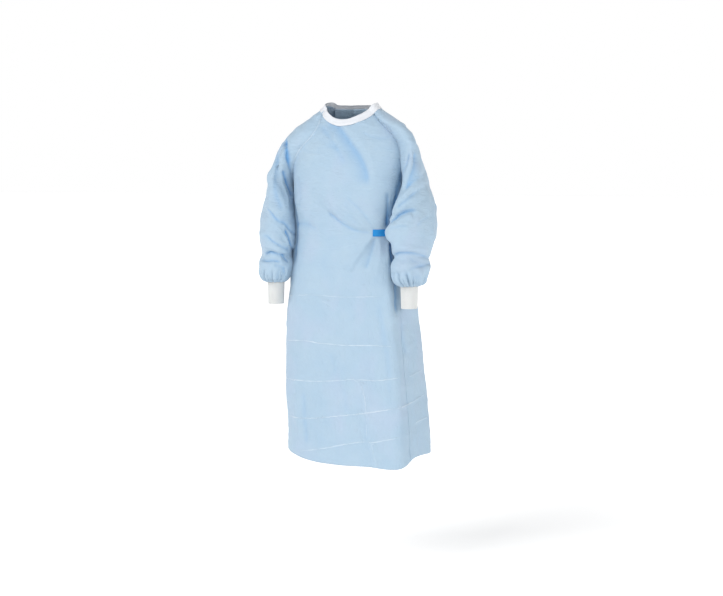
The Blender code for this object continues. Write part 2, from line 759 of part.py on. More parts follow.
def tie():
    """The short tape on the front, the belt tape on the wing's edge, their knot and its free ends."""
    front = cloth_tree("front")
    wing = cloth_tree("back_wing_outer")
    knot()
    radius = float(np.linalg.norm(body_point(TIE_KNOT_ANGLE, TIE_Z)[:2]))
    flat = TAPE_WALL + LAID_GAP
    front_end = TIE_KNOT_ANGLE - math.degrees(knot_reach(TAPE_LIFT) / radius)
    wing_start = TIE_KNOT_ANGLE + math.degrees(knot_reach(WING_TAPE_LIFT) / radius)

    def on_front(angle, z):
        rise = ease((angle - TIE_LIFT_ANGLE) / (front_end - TIE_LIFT_ANGLE))
        return laid_point(front, angle, z, flat + (TAPE_LIFT - flat) * rise)

    def on_wing(angle, z):
        point = laid_point(wing, angle, z, flat)
        return laid_point(front, angle, z, WING_TAPE_LIFT) if point is None else point

    laid_tape("tie_front", TIE_FRONT_ANGLE, front_end, on_front)
    laid_tape("tie_wing", wing_start, TIE_WING_ANGLE, on_wing)
    for name, rows in LOOSE_TAPES.items():
        loose_tape(name, cloth_tree("front", "back_wing_outer"), rows)


def main():
    for item in list(bpy.data.objects):
        bpy.data.objects.remove(item, do_unlink=True)
    collection = bpy.data.collections.new(GOWN)
    bpy.context.scene.collection.children.link(collection)
    front = front_panel()
    inner, outer = back_wings()
    right = sleeve("right")
    left = sleeve("left")
    neck_binding([inner, left, front, right, outer])
    neck_tab()
    tie()


main()
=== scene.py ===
import math
from collections import namedtuple

import bmesh
import bpy
import numpy as np
from mathutils import Matrix, Vector
from mathutils.bvhtree import BVHTree


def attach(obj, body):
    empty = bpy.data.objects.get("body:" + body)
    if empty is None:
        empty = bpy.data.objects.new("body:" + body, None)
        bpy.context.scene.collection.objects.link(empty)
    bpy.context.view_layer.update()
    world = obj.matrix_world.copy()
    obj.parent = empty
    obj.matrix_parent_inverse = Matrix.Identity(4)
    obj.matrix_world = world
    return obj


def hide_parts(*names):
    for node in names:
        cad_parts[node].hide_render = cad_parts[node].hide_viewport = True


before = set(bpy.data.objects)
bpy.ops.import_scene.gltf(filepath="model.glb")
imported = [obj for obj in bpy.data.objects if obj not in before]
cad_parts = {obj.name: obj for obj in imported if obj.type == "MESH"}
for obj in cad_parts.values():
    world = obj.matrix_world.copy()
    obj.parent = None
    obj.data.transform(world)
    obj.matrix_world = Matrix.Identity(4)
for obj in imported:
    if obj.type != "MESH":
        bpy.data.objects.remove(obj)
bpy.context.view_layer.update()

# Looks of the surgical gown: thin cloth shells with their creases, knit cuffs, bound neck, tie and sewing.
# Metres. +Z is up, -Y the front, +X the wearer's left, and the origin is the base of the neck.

# What keeps the level part of a direction, and what mirrors a place from the wearer's left to the right
LEVEL = np.array([1.0, 1.0, 0.0])
MIRROR = np.array([-1.0, 1.0, 1.0])

# Walls and gaps of the cloth
CLOTH_WALL = 0.0006
TAPE_WALL = 0.0008
BINDING_WALL = 0.0011
KNIT_WALL = 0.0014
SEAM_INSET = 0.0006
TAB_WALL = 0.0009
PART_WALL = 0.0016
LAYER_GAP = 0.0042
# How high the outer wing's free edge stands, and the degrees and the height in which it settles to that
EDGE_LIFT = 0.0006
EDGE_SETTLE = 18.0
EDGE_SETTLE_HEIGHT = 0.08
# Loose cloth at the right side of the waist
EASE_ANGLE = -88.0
EASE_TURN = 24.0
EASE_Z = -0.415
EASE_REACH = 0.100
EASE_HEIGHT = 0.017
# How far a panel laps over its neighbour at a seam, in steps, how high it stands there, and how many of the
# neighbour's columns are near enough to lie under it
LAP_STEPS = (0.0016, 0.0032, 0.0046)
LAP_LIFT = 0.0010
LAP_COLUMNS = 9
# The lap is whitened where it was pressed down
SEAM_MARKS = {"press": 0.0, "white": 0.38, "line": 0.0}

# Lengths that the solids have too
ARMPIT_Z = -0.240
HEM_Z = -1.066
NECK_DIP = 0.036
BINDING_WIDTH = 0.014
BINDING_LEAN = 34.0
CUFF_LENGTH = 0.068
CUFF_TUCK = 0.010
CUFF_END_SHARE = 0.93
WRIST_HALF_THICK = 0.0262
WRIST_HALF_DEPTH = 0.0302
TAPE_WIDTH = 0.021
OVERLAP_START = 9.0
OVERLAP_RAMP = 20.0

# Points of the shells: rows beside the raglan lines, rows below the armpit, columns across
RAGLAN_ROWS = 60
SKIRT_ROWS = 196
FRONT_COLUMNS = 160
OUTER_COLUMNS = 140
INNER_COLUMNS = 84
SLEEVE_ROWS = 84
SLEEVE_COLUMNS = 190
CUFF_ROWS = 40
CUFF_RIBS = 44
CUFF_COLUMNS = CUFF_RIBS * 8
RIB_HEIGHT = 0.0005
RIB_TIGHTNESS = 0.3
CUFF_INSET = 0.02
TAPE_LINES = 13
TAPE_STEPS = 60
LOOSE_STEPS = 60
KNOT_FILL = 0.94
BINDING_STEP = 0.0030
# Height and outward reach of the binding's outer face, from its top to its stitched edge
BINDING_SECTION = (
    (1.00, 0.0004),
    (0.97, 0.0010),
    (0.85, 0.0016),
    (0.60, 0.0018),
    (0.35, 0.0016),
    (0.12, 0.0014),
)
# Distance down the cloth and lift of the binding's lower part
BINDING_SKIRT = ((0.0015, 0.0024), (0.0050, 0.0024), (0.0082, 0.0022), (0.0100, 0.0025), (0.0112, 0.0018))
# Small waves of the binding: their size, seed and height
BINDING_WAVES = ((0.011, 5, 0.0006), (0.026, 6, 0.0007))
BINDING_SMOOTHINGS = 2
TAPE_NODES = {"front_tape": "tie_front", "wing_tape": "tie_wing"}

# Stitches: spacing, length and thickness, how far they are from a panel's edge, and how far off the cloth
SEAM_STITCH = (0.0034, 0.0024, 0.0005)
BINDING_STITCH = (0.0032, 0.0022, 0.0005)
TAPE_STITCH = (0.0030, 0.0020, 0.0005)
FRONT_STITCH_INSET = 0.0035
WING_STITCH_INSET = 0.0065
SEAM_STITCH_LIFT = 0.0001
HIGH_STITCH_LIFT = 0.0002

# The camera of the photograph, and its picture in pixels
PHOTO_WIDTH = 723
PHOTO_HEIGHT = 596
FOCAL_PIXELS = 1385.0
SENSOR = 36.0
VIEW_TURN = 22.0
VIEW_DISTANCE = 4.3
VIEW_HEIGHT = -0.19
VIEW_DROP = 0.394
VIEW_SIDE_PIXELS = 9.0
# Distances from the eye between which the gown stands
GOWN_REACH = (3.7, 4.7)
FLOOR_Z = -1.41
FLOOR_HALF = 60.0
COVE_TOP = 0.16
COVE_LIGHT = 1.0
CEILING_LIGHT = 0.35
FLOOR_GLOW = 0.42
FLOOR_COLOUR = (0.96, 0.96, 0.96, 1.0)
FLOOR_DEEP = (0.94, 0.94, 0.94, 1.0)
WHITE = (1.0, 1.0, 1.0, 1.0)
# Where each light comes from, its strength and its width in degrees
LIGHTS = {"key": ((-0.55, -0.80, 0.80), 1.50, 34.0), "fill": ((0.95, -0.45, 0.20), 1.15, 50.0)}


class Table:
    """Named columns, read at any value of the first one on a smooth curve through the rows."""

    def __init__(self, names, *rows):
        self.names = names.split()
        data = np.array(rows, float)
        self.data = data[np.argsort(data[:, 0])]
        self.slopes = np.gradient(self.data, self.data[:, 0], axis=0)

    def read(self, name, at):
        keys = self.data[:, 0]
        column = self.names.index(name)
        at = np.clip(at, keys[0], keys[-1])
        i = np.clip(np.searchsorted(keys, at, side="right") - 1, 0, len(keys) - 2)
        span = keys[i + 1] - keys[i]
        t = (at - keys[i]) / span
        low = (2 * t**3 - 3 * t**2 + 1) * self.data[i, column]
        low = low + (t**3 - 2 * t**2 + t) * span * self.slopes[i, column]
        high = (3 * t**2 - 2 * t**3) * self.data[i + 1, column]
        return low + high + (t**3 - t**2) * span * self.slopes[i + 1, column]

    def last(self, name):
        return float(self.data[-1, self.names.index(name)])

    def first(self, name):
        return float(self.data[0, self.names.index(name)])


BODY = Table(
    "z half_width front back squareness shift",
    (0.020, 0.080, 0.052, 0.058, 2.0, 0.000),
    (0.000, 0.090, 0.062, 0.066, 2.0, 0.000),
    (-0.030, 0.118, 0.080, 0.080, 2.1, 0.000),
    (-0.067, 0.158, 0.098, 0.094, 2.2, 0.000),
    (-0.100, 0.176, 0.110, 0.102, 2.4, 0.000),
    (-0.150, 0.184, 0.122, 0.110, 2.6, 0.000),
    (-0.240, 0.181, 0.131, 0.114, 2.7, 0.000),
    (-0.320, 0.174, 0.131, 0.106, 2.7, 0.000),
    (-0.385, 0.165, 0.127, 0.098, 2.7, 0.000),
    (-0.480, 0.180, 0.134, 0.110, 2.8, 0.000),
    (-0.720, 0.200, 0.142, 0.138, 2.9, 0.000),
    (-0.860, 0.206, 0.148, 0.146, 3.0, 0.008),
    (-1.000, 0.210, 0.152, 0.150, 3.0, 0.018),
    (-1.100, 0.210, 0.154, 0.152, 3.0, 0.021),
)
HEM = Table(
    "angle z",
    (-100.0, -1.053),
    (-75.0, -1.055),
    (-50.0, -1.069),
    (-25.0, -1.078),
    (0.0, -1.081),
    (30.0, -1.080),
    (57.0, -1.086),
    (74.0, -1.064),
    (100.0, -1.062),
    (180.0, -1.070),
    (235.0, -1.064),
    (270.0, -1.050),
)
# angle_top, angle_hem, z_start, z_full, half_width, height
SKIRT_FOLDS = (
    (55.0, 58.0, -0.300, -0.520, 9.0, 0.008),
    (42.0, 45.0, -0.340, -0.560, 10.0, -0.004),
    (73.0, 75.0, -0.420, -0.620, 11.0, -0.005),
    (104.0, 101.0, -0.440, -0.760, 12.0, 0.008),
    (136.0, 140.0, -0.300, -0.700, 14.0, -0.007),
    (164.0, 168.0, -0.420, -0.800, 13.0, 0.009),
    (196.0, 192.0, -0.300, -0.720, 15.0, -0.007),
    (228.0, 222.0, -0.460, -0.820, 14.0, 0.009),
    (256.0, 258.0, -0.480, -0.760, 12.0, -0.006),
    (282.0, 284.0, -0.420, -0.700, 12.0, 0.006),
    (312.0, 308.0, -0.600, -0.860, 13.0, -0.004),
)
# angle_a, z_a, angle_b, z_b, half_width, height
PULLS = (
    (-14.0, -0.060, 14.0, -0.210, 0.022, 0.006),
    (-26.0, -0.270, 42.0, -0.366, 0.016, 0.005),
    (-6.0, -0.300, 44.0, -0.362, 0.013, -0.004),
    (40.0, -0.395, 12.0, -0.490, 0.014, 0.005),
)
RAGLAN = {
    "right": Table(
        "share front_angle front_z back_angle back_z",
        (0.00, 60.0, -0.010, 118.0, 0.002),
        (0.20, 45.0, -0.050, 128.0, -0.040),
        (0.40, 46.0, -0.088, 133.0, -0.085),
        (0.60, 56.0, -0.126, 130.0, -0.130),
        (0.80, 66.0, -0.176, 119.0, -0.180),
        (0.92, 78.0, -0.216, 104.0, -0.218),
        (1.00, 90.0, ARMPIT_Z, 90.0, ARMPIT_Z),
    ),
    "left": Table(
        "share front_angle front_z back_angle back_z",
        (0.00, 64.0, -0.010, 118.0, 0.002),
        (0.20, 66.0, -0.046, 128.0, -0.040),
        (0.40, 71.0, -0.082, 133.0, -0.085),
        (0.60, 74.0, -0.124, 130.0, -0.130),
        (0.80, 75.0, -0.176, 119.0, -0.180),
        (0.92, 81.0, -0.216, 104.0, -0.218),
        (1.00, 90.0, ARMPIT_Z, 90.0, ARMPIT_Z),
    ),
}
RIDGE = Table(
    "share x y z half_depth",
    (0.00, 0.086, -0.004, 0.006, 0.036),
    (0.20, 0.130, -0.008, -0.026, 0.066),
    (0.40, 0.172, -0.012, -0.052, 0.084),
    (0.60, 0.206, -0.018, -0.094, 0.092),
    (0.80, 0.230, -0.026, -0.152, 0.095),
    (0.92, 0.243, -0.032, -0.205, 0.095),
    (1.00, 0.250, -0.036, -0.236, 0.094),
)
ARM = Table(
    "z x y half_thick half_depth turn",
    (-0.240, 0.2165, -0.018, 0.0340, 0.094, 4.0),
    (-0.290, 0.2250, -0.046, 0.0440, 0.088, 14.0),
    (-0.350, 0.2265, -0.066, 0.0500, 0.083, 22.0),
    (-0.410, 0.2250, -0.078, 0.0490, 0.076, 24.0),
    (-0.450, 0.2230, -0.084, 0.0420, 0.064, 22.0),
    (-0.472, 0.2230, -0.087, 0.0500, 0.068, 20.0),
    (-0.500, 0.2220, -0.089, 0.0450, 0.060, 16.0),
    (-0.520, 0.2210, -0.090, 0.0370, 0.046, 12.0),
    (-0.532, 0.2200, -0.090, 0.0278, 0.0318, 8.0),
)
SLEEVE_END_Z = ARM.first("z")
SLEEVE_GIRTH = 0.42
SLEEVE_LENGTH = 0.25
ARMPIT_BLEND = 0.075
# Gathers over the cuff: how many go round, where the waves start, their top and their height
SLEEVE_GATHERS = ((11, 0.0, -0.474, 0.0034), (19, 1.1, -0.484, 0.0030), (31, 2.3, -0.494, 0.0019))
GATHER_RISE = 0.030
GATHER_FALL = 0.014
# How steeply the large folds and the creases fade towards the sleeve's raglan seams
FOLD_FADE = 9
CREASE_FADE = 16
# z_a, round_a, z_b, round_b, half_width, height
SLEEVE_FOLDS = {
    "right": (
        (-0.100, 0.30, -0.230, 0.14, 0.020, -0.009),
        (-0.190, 0.34, -0.330, 0.10, 0.018, 0.007),
        (-0.300, 0.42, -0.400, 0.12, 0.016, -0.006),
        (-0.380, 0.44, -0.445, 0.10, 0.014, 0.006),
        (-0.452, 0.02, -0.452, 0.48, 0.010, -0.005),
        (-0.300, 0.00, -0.505, 0.00, 0.034, 0.010),
        (-0.300, 1.00, -0.505, 1.00, 0.034, 0.010),
    ),
    "left": (
        (-0.170, 0.46, -0.330, 0.14, 0.018, 0.007),
        (-0.270, 0.50, -0.350, 0.10, 0.016, -0.006),
        (-0.330, 0.46, -0.380, 0.08, 0.016, 0.006),
        (-0.325, 0.17, -0.400, 0.15, 0.022, 0.010),
        (-0.446, 0.04, -0.446, 0.52, 0.010, -0.006),
        (-0.468, 0.54, -0.500, 0.16, 0.012, -0.005),
    ),
}
WING_EDGES = Table(
    "z outer inner",
    (0.010, 156.0, 200.0),
    (-0.060, 152.0, 199.0),
    (-0.150, 140.0, 201.0),
    (-0.240, 118.0, 208.0),
    (-0.300, 98.0, 216.0),
    (-0.372, 77.0, 226.0),
    (-0.480, 74.0, 228.0),
    (-0.720, 71.0, 228.0),
    (-1.100, 69.0, 226.0),
)

# Neck closure tab and tie, as the solids have them
TAB_ANGLES = (140.0, 176.0)
TAB_HEIGHTS = (-0.006, -0.030)
TAB_STEP_TURN = 13.0
TIE_Z = -0.375
TIE_FRONT_ANGLE = 45.0
TIE_KNOT_ANGLE = 70.0
TIE_WING_ANGLE = 97.0
TIE_LIFT_ANGLE = 54.0
KNOT_HALF = (0.0100, 0.0070, 0.0120)
KNOT_STAND = 0.0105
TAPE_LIFT = 0.0056
WING_TAPE_LIFT = 0.0088
# The knot's gathered core, its grooves, and the tape's turn over it
KNOT_CORE = 0.70
KNOT_GROOVES = 9
KNOT_GROOVE_DEPTH = 0.09
KNOT_TURN = 0.34
KNOT_TURN_WIDTH = 0.26
# The tape's last part before the knot, as a share of its length, and how much narrower it gets there
DRAWN_SHARE = 0.28
DRAWN_IN = 0.42
# Heights of the folds at the knot and of the slow waves, on the laid tapes and on the loose ones, and how far
# a loose tape arches across its width
LAID_GATHER = 0.0011
LAID_WAVE = 0.00025
TAPE_GATHER = 0.0017
TAPE_WAVE = 0.0007
TAPE_ARCH = 0.0006
LOOSE_TAPES = {
    "tie_loop": Table(
        "step back lift down half_width",
        (0, -0.0070, 0.0110, 0.0010, 0.0050),
        (1, -0.0200, 0.0132, 0.0050, 0.0075),
        (2, -0.0300, 0.0128, 0.0070, 0.0085),
        (3, -0.0345, 0.0108, 0.0076, 0.0085),
        (4, -0.0300, 0.0086, 0.0070, 0.0085),
        (5, -0.0200, 0.0084, 0.0050, 0.0075),
        (6, -0.0070, 0.0096, 0.0010, 0.0050),
    ),
    "tie_end": Table(
        "step back lift down half_width",
        (0, 0.0060, 0.0105, -0.0010, 0.0050),
        (1, 0.0250, 0.0125, -0.0020, 0.0078),
        (2, 0.0420, 0.0100, -0.0030, 0.0095),
        (3, 0.0600, 0.0100, -0.0030, 0.0112),
    ),
    "tie_tail_wide": Table(
        "step back lift down half_width",
        (0, 0.0000, 0.0095, 0.0070, 0.0060),
        (1, -0.0010, 0.0080, 0.0280, 0.0090),
        (2, -0.0020, 0.0066, 0.0520, 0.0105),
        (3, 0.0000, 0.0060, 0.0800, 0.0105),
        (4, 0.0020, 0.0066, 0.1080, 0.0105),
        (5, 0.0010, 0.0060, 0.1320, 0.0105),
    ),
    "tie_tail_narrow": Table(
        "step back lift down half_width",
        (0, 0.0060, 0.0110, 0.0040, 0.0028),
        (1, 0.0210, 0.0120, 0.0200, 0.0040),
        (2, 0.0300, 0.0110, 0.0340, 0.0050),
        (3, 0.0390, 0.0110, 0.0520, 0.0050),
        (4, 0.0440, 0.0100, 0.0720, 0.0055),
    ),
}
LOOSE_PIECES = {
    "tie_loop": "loop_tape",
    "tie_end": "end_tape",
    "tie_tail_wide": "wide_tail",
    "tie_tail_narrow": "narrow_tail",
}
# Twist of each loose tape from its start to its end, in degrees, and the size of its lengthwise folds
LOOSE_TWIST = {"tie_loop": 0.0, "tie_end": -6.0, "tie_tail_wide": 8.0, "tie_tail_narrow": 70.0}

# Width and height of a crease are metres. A positive lean makes the side to the right of its direction the
# wider one, sharp is 0 for a soft fold and 1 for a pressed line, and white is how much it whitens the cloth.
Crease = namedtuple("Crease", "width height lean sharp white points")


def creases(*rows):
    """Creases from rows of width, height, lean, sharp and white, and then each point."""
    return tuple(Crease(*row[:5], row[5:]) for row in rows)


# Creases as the photograph shows them. Their points are pixels of it, and each lies on the cloth seen there.
FRONT_CREASES = creases(
    (0.020, -0.0062, 0.55, 0.45, 0.1,
     (329, 116), (336, 124), (344, 134), (353, 147), (361, 159), (366, 171), (368, 188)),
    (0.010, 0.0022, 0.0, 0.3, 0.0, (350, 128), (363, 144), (372, 160), (375, 182)),
    (0.012, -0.0026, 0.4, 0.4, 0.0, (318, 122), (327, 134), (338, 150), (346, 166)),
    (0.009, 0.0020, -0.3, 0.4, 0.0, (352, 118), (364, 124), (378, 128), (388, 126)),
    (0.008, -0.0022, 0.3, 0.5, 0.0, (362, 132), (374, 137), (386, 138), (392, 134)),
    (0.007, -0.0016, 0.0, 0.6, 0.0, (316, 150), (328, 147), (340, 151)),
    (0.007, -0.0016, 0.0, 0.6, 0.0, (300, 147), (309, 152), (322, 153)),
    (0.007, -0.0014, 0.0, 0.6, 0.0, (372, 150), (382, 148), (394, 151)),
    (0.008, -0.0018, 0.3, 0.6, 0.0, (346, 200), (349, 214), (360, 224)),
    (0.009, 0.0066, 0.5, 0.5, 0.0, (312, 189), (324, 200), (334, 211), (346, 220), (358, 226), (373, 230)),
    (0.009, -0.0066, -0.6, 0.6, 0.0, (326, 211), (340, 222), (354, 230), (372, 233)),
    (0.007, 0.0042, 0.3, 0.5, 0.0, (336, 204), (350, 213), (362, 221), (374, 229)),
    (0.006, -0.0028, 0.0, 0.6, 0.0, (346, 196), (360, 210), (374, 227)),
    (0.010, -0.0028, 0.0, 0.2, 0.0, (294, 226), (303, 224), (312, 226), (318, 231)),
    (0.008, 0.0022, 0.0, 0.2, 0.0, (311, 225), (320, 222), (332, 222)),
    (0.005, -0.0012, 0.0, 0.5, 0.2, (303, 251), (322, 249), (344, 247), (368, 241)),
    (0.008, 0.0050, 0.4, 0.5, 0.0, (374, 236), (366, 246), (357, 258), (349, 272)),
    (0.007, -0.0042, 0.55, 0.6, 0.0, (376, 237), (372, 252), (366, 270)),
    (0.007, 0.0020, 0.0, 0.3, 0.0, (380, 238), (380, 256), (377, 276)),
    (0.006, -0.0014, 0.0, 0.4, 0.1, (372, 234), (350, 238), (326, 238)),
    (0.005, 0.0010, 0.0, 0.5, 0.2, (294, 208), (308, 209), (322, 207)),
    (0.007, -0.0016, 0.0, 0.3, 0.0, (296, 176), (300, 192), (299, 210)),
    (0.005, 0.0010, 0.0, 0.5, 0.1, (304, 156), (316, 155), (328, 157)),
    (0.005, -0.0010, 0.0, 0.5, 0.1, (318, 163), (332, 166), (345, 165)),
    (0.005, 0.0010, 0.0, 0.5, 0.1, (320, 133), (328, 139), (338, 141)),
    (0.006, -0.0012, 0.0, 0.4, 0.0, (318, 138), (326, 144), (337, 148)),
    (0.005, 0.0008, 0.0, 0.5, 0.1, (352, 190), (362, 188), (376, 190)),
    (0.004, 0.0011, 0.0, 0.9, 0.5, (288, 296), (312, 295), (340, 297), (388, 296)),
    (0.004, 0.0009, 0.0, 0.9, 0.4, (321, 300), (329, 305), (337, 311)),
    (0.005, 0.0018, 0.2, 0.9, 0.8,
     (287, 340), (307, 341), (319, 343), (331, 344), (346, 345.6), (362, 345.4), (392, 346.5)),
    (0.005, 0.0019, 0.2, 0.9, 0.8,
     (287, 377.7), (298, 380), (315, 381.3), (339, 380.5), (353, 379.5), (378, 380.5), (399, 377.7)),
    (0.006, 0.0022, 0.0, 0.8, 0.7, (354, 379.5), (361, 385.4), (363.6, 392.5), (365.4, 403), (366.6, 415)),
    (0.006, -0.0018, 0.0, 0.7, 0.4, (366.6, 415), (366.5, 428), (366, 442)),
    (0.005, 0.0018, 0.2, 0.9, 0.8,
     (288, 415), (300, 417.8), (319, 417.8), (339, 416), (362, 413.7), (386, 410.1), (400, 407.6),
     (409, 403.6)),
    (0.005, 0.0016, 0.2, 0.9, 0.7,
     (300, 451), (306, 450.4), (327, 447.8), (345, 444.3), (365, 442), (373, 442.5), (386, 440.2),
     (400, 437.2)),
    (0.006, -0.0016, 0.0, 0.6, 0.2, (368, 443), (371, 455), (373, 467)),
    (0.005, 0.0014, 0.0, 0.7, 0.3, (371, 443), (374, 455), (377, 467)),
    (0.014, 0.0030, 0.2, 0.6, 0.0,
     (387, 232), (389, 262), (389, 294), (392, 322), (396, 350), (399, 372), (400, 408), (401, 466)),
    (0.012, -0.0022, 0.0, 0.2, 0.0, (378, 300), (383, 330), (388, 362), (390, 400)),
    (0.014, 0.0024, 0.0, 0.2, 0.0, (296, 372), (296, 396), (298, 424), (300, 448)),
    (0.012, -0.0026, 0.0, 0.2, 0.0, (303, 390), (305, 420), (307, 446)),
    (0.010, -0.0014, 0.0, 0.3, 0.0, (330, 352), (334, 364), (336, 378)),
    (0.012, -0.0014, 0.0, 0.2, 0.0, (342, 386), (346, 400), (345, 414)),
)
# Deep troughs between the body and the sleeves, which get dark painted fold shade as well as their relief
SHADED_CREASES = creases(
    (0.012, -0.0085, 0.0, 0.3, 0.0, (402, 168), (401, 178), (398, 190), (394, 204), (390, 218), (388, 230)),
    (0.010, -0.0075, 0.0, 0.3, 0.0, (390, 238), (392, 252), (394, 270), (396, 290), (397, 316)),
    (0.010, -0.0060, 0.0, 0.3, 0.0, (292, 168), (293, 184), (294, 200), (296, 220), (296, 244), (294, 266)),
)
SIDE_CREASES = creases(
    (0.005, 0.0018, 0.2, 0.9, 0.8, (409, 403.6), (412, 402), (417, 399), (424, 395)),
    (0.005, 0.0012, 0.0, 0.9, 0.6, (407, 428), (416.6, 422), (427, 417)),
    (0.004, 0.0010, 0.0, 0.9, 0.5, (409, 377), (415, 373.5), (422, 370)),
    (0.010, -0.0022, 0.0, 0.3, 0.0, (398, 300), (402, 330), (406, 356)),
    (0.012, 0.0022, 0.0, 0.3, 0.0, (408, 330), (412, 372), (414, 412), (415, 452)),
)
RIGHT_SLEEVE_CREASES = creases(
    (0.0075, -0.0163, -0.45, 0.70, 0.0,
     (286, 136), (285, 143), (285, 148), (286.2, 156), (288.2, 162.5), (290.7, 169), (292.6, 177)),
    (0.0080, 0.0046, 0.0, 0.40, 0.0, (283.5, 139), (281.6, 150), (282, 162), (284, 172)),
    (0.0060, -0.0131, -0.3, 0.75, 0.0,
     (282.6, 169), (283.4, 173.3), (285.6, 179.7), (289.4, 189.3), (291.4, 197)),
    (0.0080, 0.0058, 0.3, 0.55, 0.0, (281, 176), (283, 186), (286.6, 196), (288.6, 208)),
    (0.0130, -0.0042, 0.2, 0.20, 0.0,
     (280, 150), (277, 162.5), (275.4, 173.3), (275, 186), (277, 196), (280.5, 204), (282.4, 213)),
    (0.0090, 0.0043, 0.0, 0.45, 0.0, (275, 166), (271, 190), (270, 204), (273, 214)),
    (0.0070, -0.0075, -0.2, 0.70, 0.0,
     (267, 206), (269, 211), (272.2, 215.5), (278.6, 221.3), (284.3, 223.2), (289.4, 229.5), (296, 238)),
    (0.0070, 0.0058, 0.0, 0.65, 0.0, (270, 220), (278, 228), (284, 236), (288, 246)),
    (0.0055, -0.0137, 0.3, 0.75, 0.0, (285, 229), (288, 235), (290.6, 242), (292.8, 252)),
    (0.0060, -0.0063, 0.2, 0.85, 0.0,
     (262, 236), (267.1, 236), (271.6, 240.4), (276.7, 243.6), (284, 247.4), (290, 249)),
    (0.0060, 0.0049, 0.0, 0.65, 0.0, (264, 246), (272, 248), (281, 250)),
    (0.0050, -0.0119, 0.45, 0.85, 0.0,
     (265, 255), (270.3, 252), (276, 253.1), (282.4, 254.6), (287, 259), (289, 263)),
    (0.0050, 0.0058, 0.0, 0.75, 0.0, (264, 257), (270, 256), (277, 257), (283, 259)),
    (0.0045, -0.0094, 0.45, 0.85, 0.0, (260, 260), (267.8, 260), (274.8, 260), (282.4, 262)),
    (0.0045, -0.0050, 0.45, 0.85, 0.0, (274, 265), (280.5, 265.9), (283.7, 267.5)),
    (0.0050, -0.0069, 0.3, 0.75, 0.0, (283.9, 266), (284.4, 273), (285.4, 279)),
)
LEFT_SLEEVE_CREASES = creases(
    (0.0060, -0.0063, 0.2, 0.75, 0.0, (400.8, 176), (404.4, 171.4), (407.6, 160.6), (409, 152)),
    (0.0090, 0.0058, 0.0, 0.55, 0.0, (405, 178), (409, 168), (412, 152)),
    (0.0120, -0.0063, 0.45, 0.45, 0.0, (404, 192), (409, 180), (413.5, 166), (415, 150)),
    (0.0060, -0.0047, 0.2, 0.75, 0.0, (404, 188), (410.2, 183.5), (415.9, 179.1), (424, 175.3)),
    (0.0090, 0.0049, 0.0, 0.55, 0.0, (402, 197), (410, 190), (418, 184), (426, 182)),
    (0.0060, -0.0063, 0.2, 0.75, 0.0, (396, 209), (398.8, 206.1), (404.8, 201.4), (412.9, 194), (419, 188)),
    (0.0070, 0.0043, 0.0, 0.55, 0.0, (400, 209), (408, 203), (417, 197)),
    (0.0055, -0.0106, 0.3, 0.75, 0.0,
     (389.6, 224), (394, 218.5), (398.8, 214.8), (403.5, 212.1), (409.5, 210.1), (417, 209.4)),
    (0.0080, 0.0072, 0.0, 0.55, 0.0, (396, 224), (404, 218), (413, 216)),
    (0.0060, -0.0045, 0.2, 0.75, 0.0, (416, 227), (420, 222), (424, 218.6), (432, 215.6)),
    (0.0100, 0.0052, 0.0, 0.45, 0.0, (426, 190), (428, 204), (428, 218)),
    (0.0060, -0.0040, 0.45, 0.75, 0.0, (389, 228), (398, 226), (408, 225)),
    (0.0050, -0.0125, 0.45, 0.85, 0.0,
     (391, 255), (395, 254), (399.5, 252.6), (407.5, 252.4), (416.9, 253.3), (424, 255.6), (431, 258)),
    (0.0080, 0.0052, 0.0, 0.55, 0.0, (395, 249), (404, 247.6), (416, 248.6), (428, 251)),
    (0.0070, 0.0058, 0.0, 0.55, 0.0, (398, 257), (408, 257), (420, 259), (432, 262)),
    (0.0050, -0.0100, 0.45, 0.85, 0.0,
     (433, 263.6), (429.6, 264), (422.2, 266.4), (415.5, 267.7), (407.5, 271)),
    (0.0050, -0.0037, 0.45, 0.75, 0.0, (408, 256), (414, 261), (422, 263)),
    (0.0050, 0.0038, 0.0, 0.65, 0.0, (402, 262), (400, 268), (399, 273)),
    (0.0075, -0.0022, 0.0, 0.40, 0.0,
     (389.6, 275.4), (393.4, 273.4), (400, 274), (408.2, 275), (415, 277), (421.6, 279)),
)

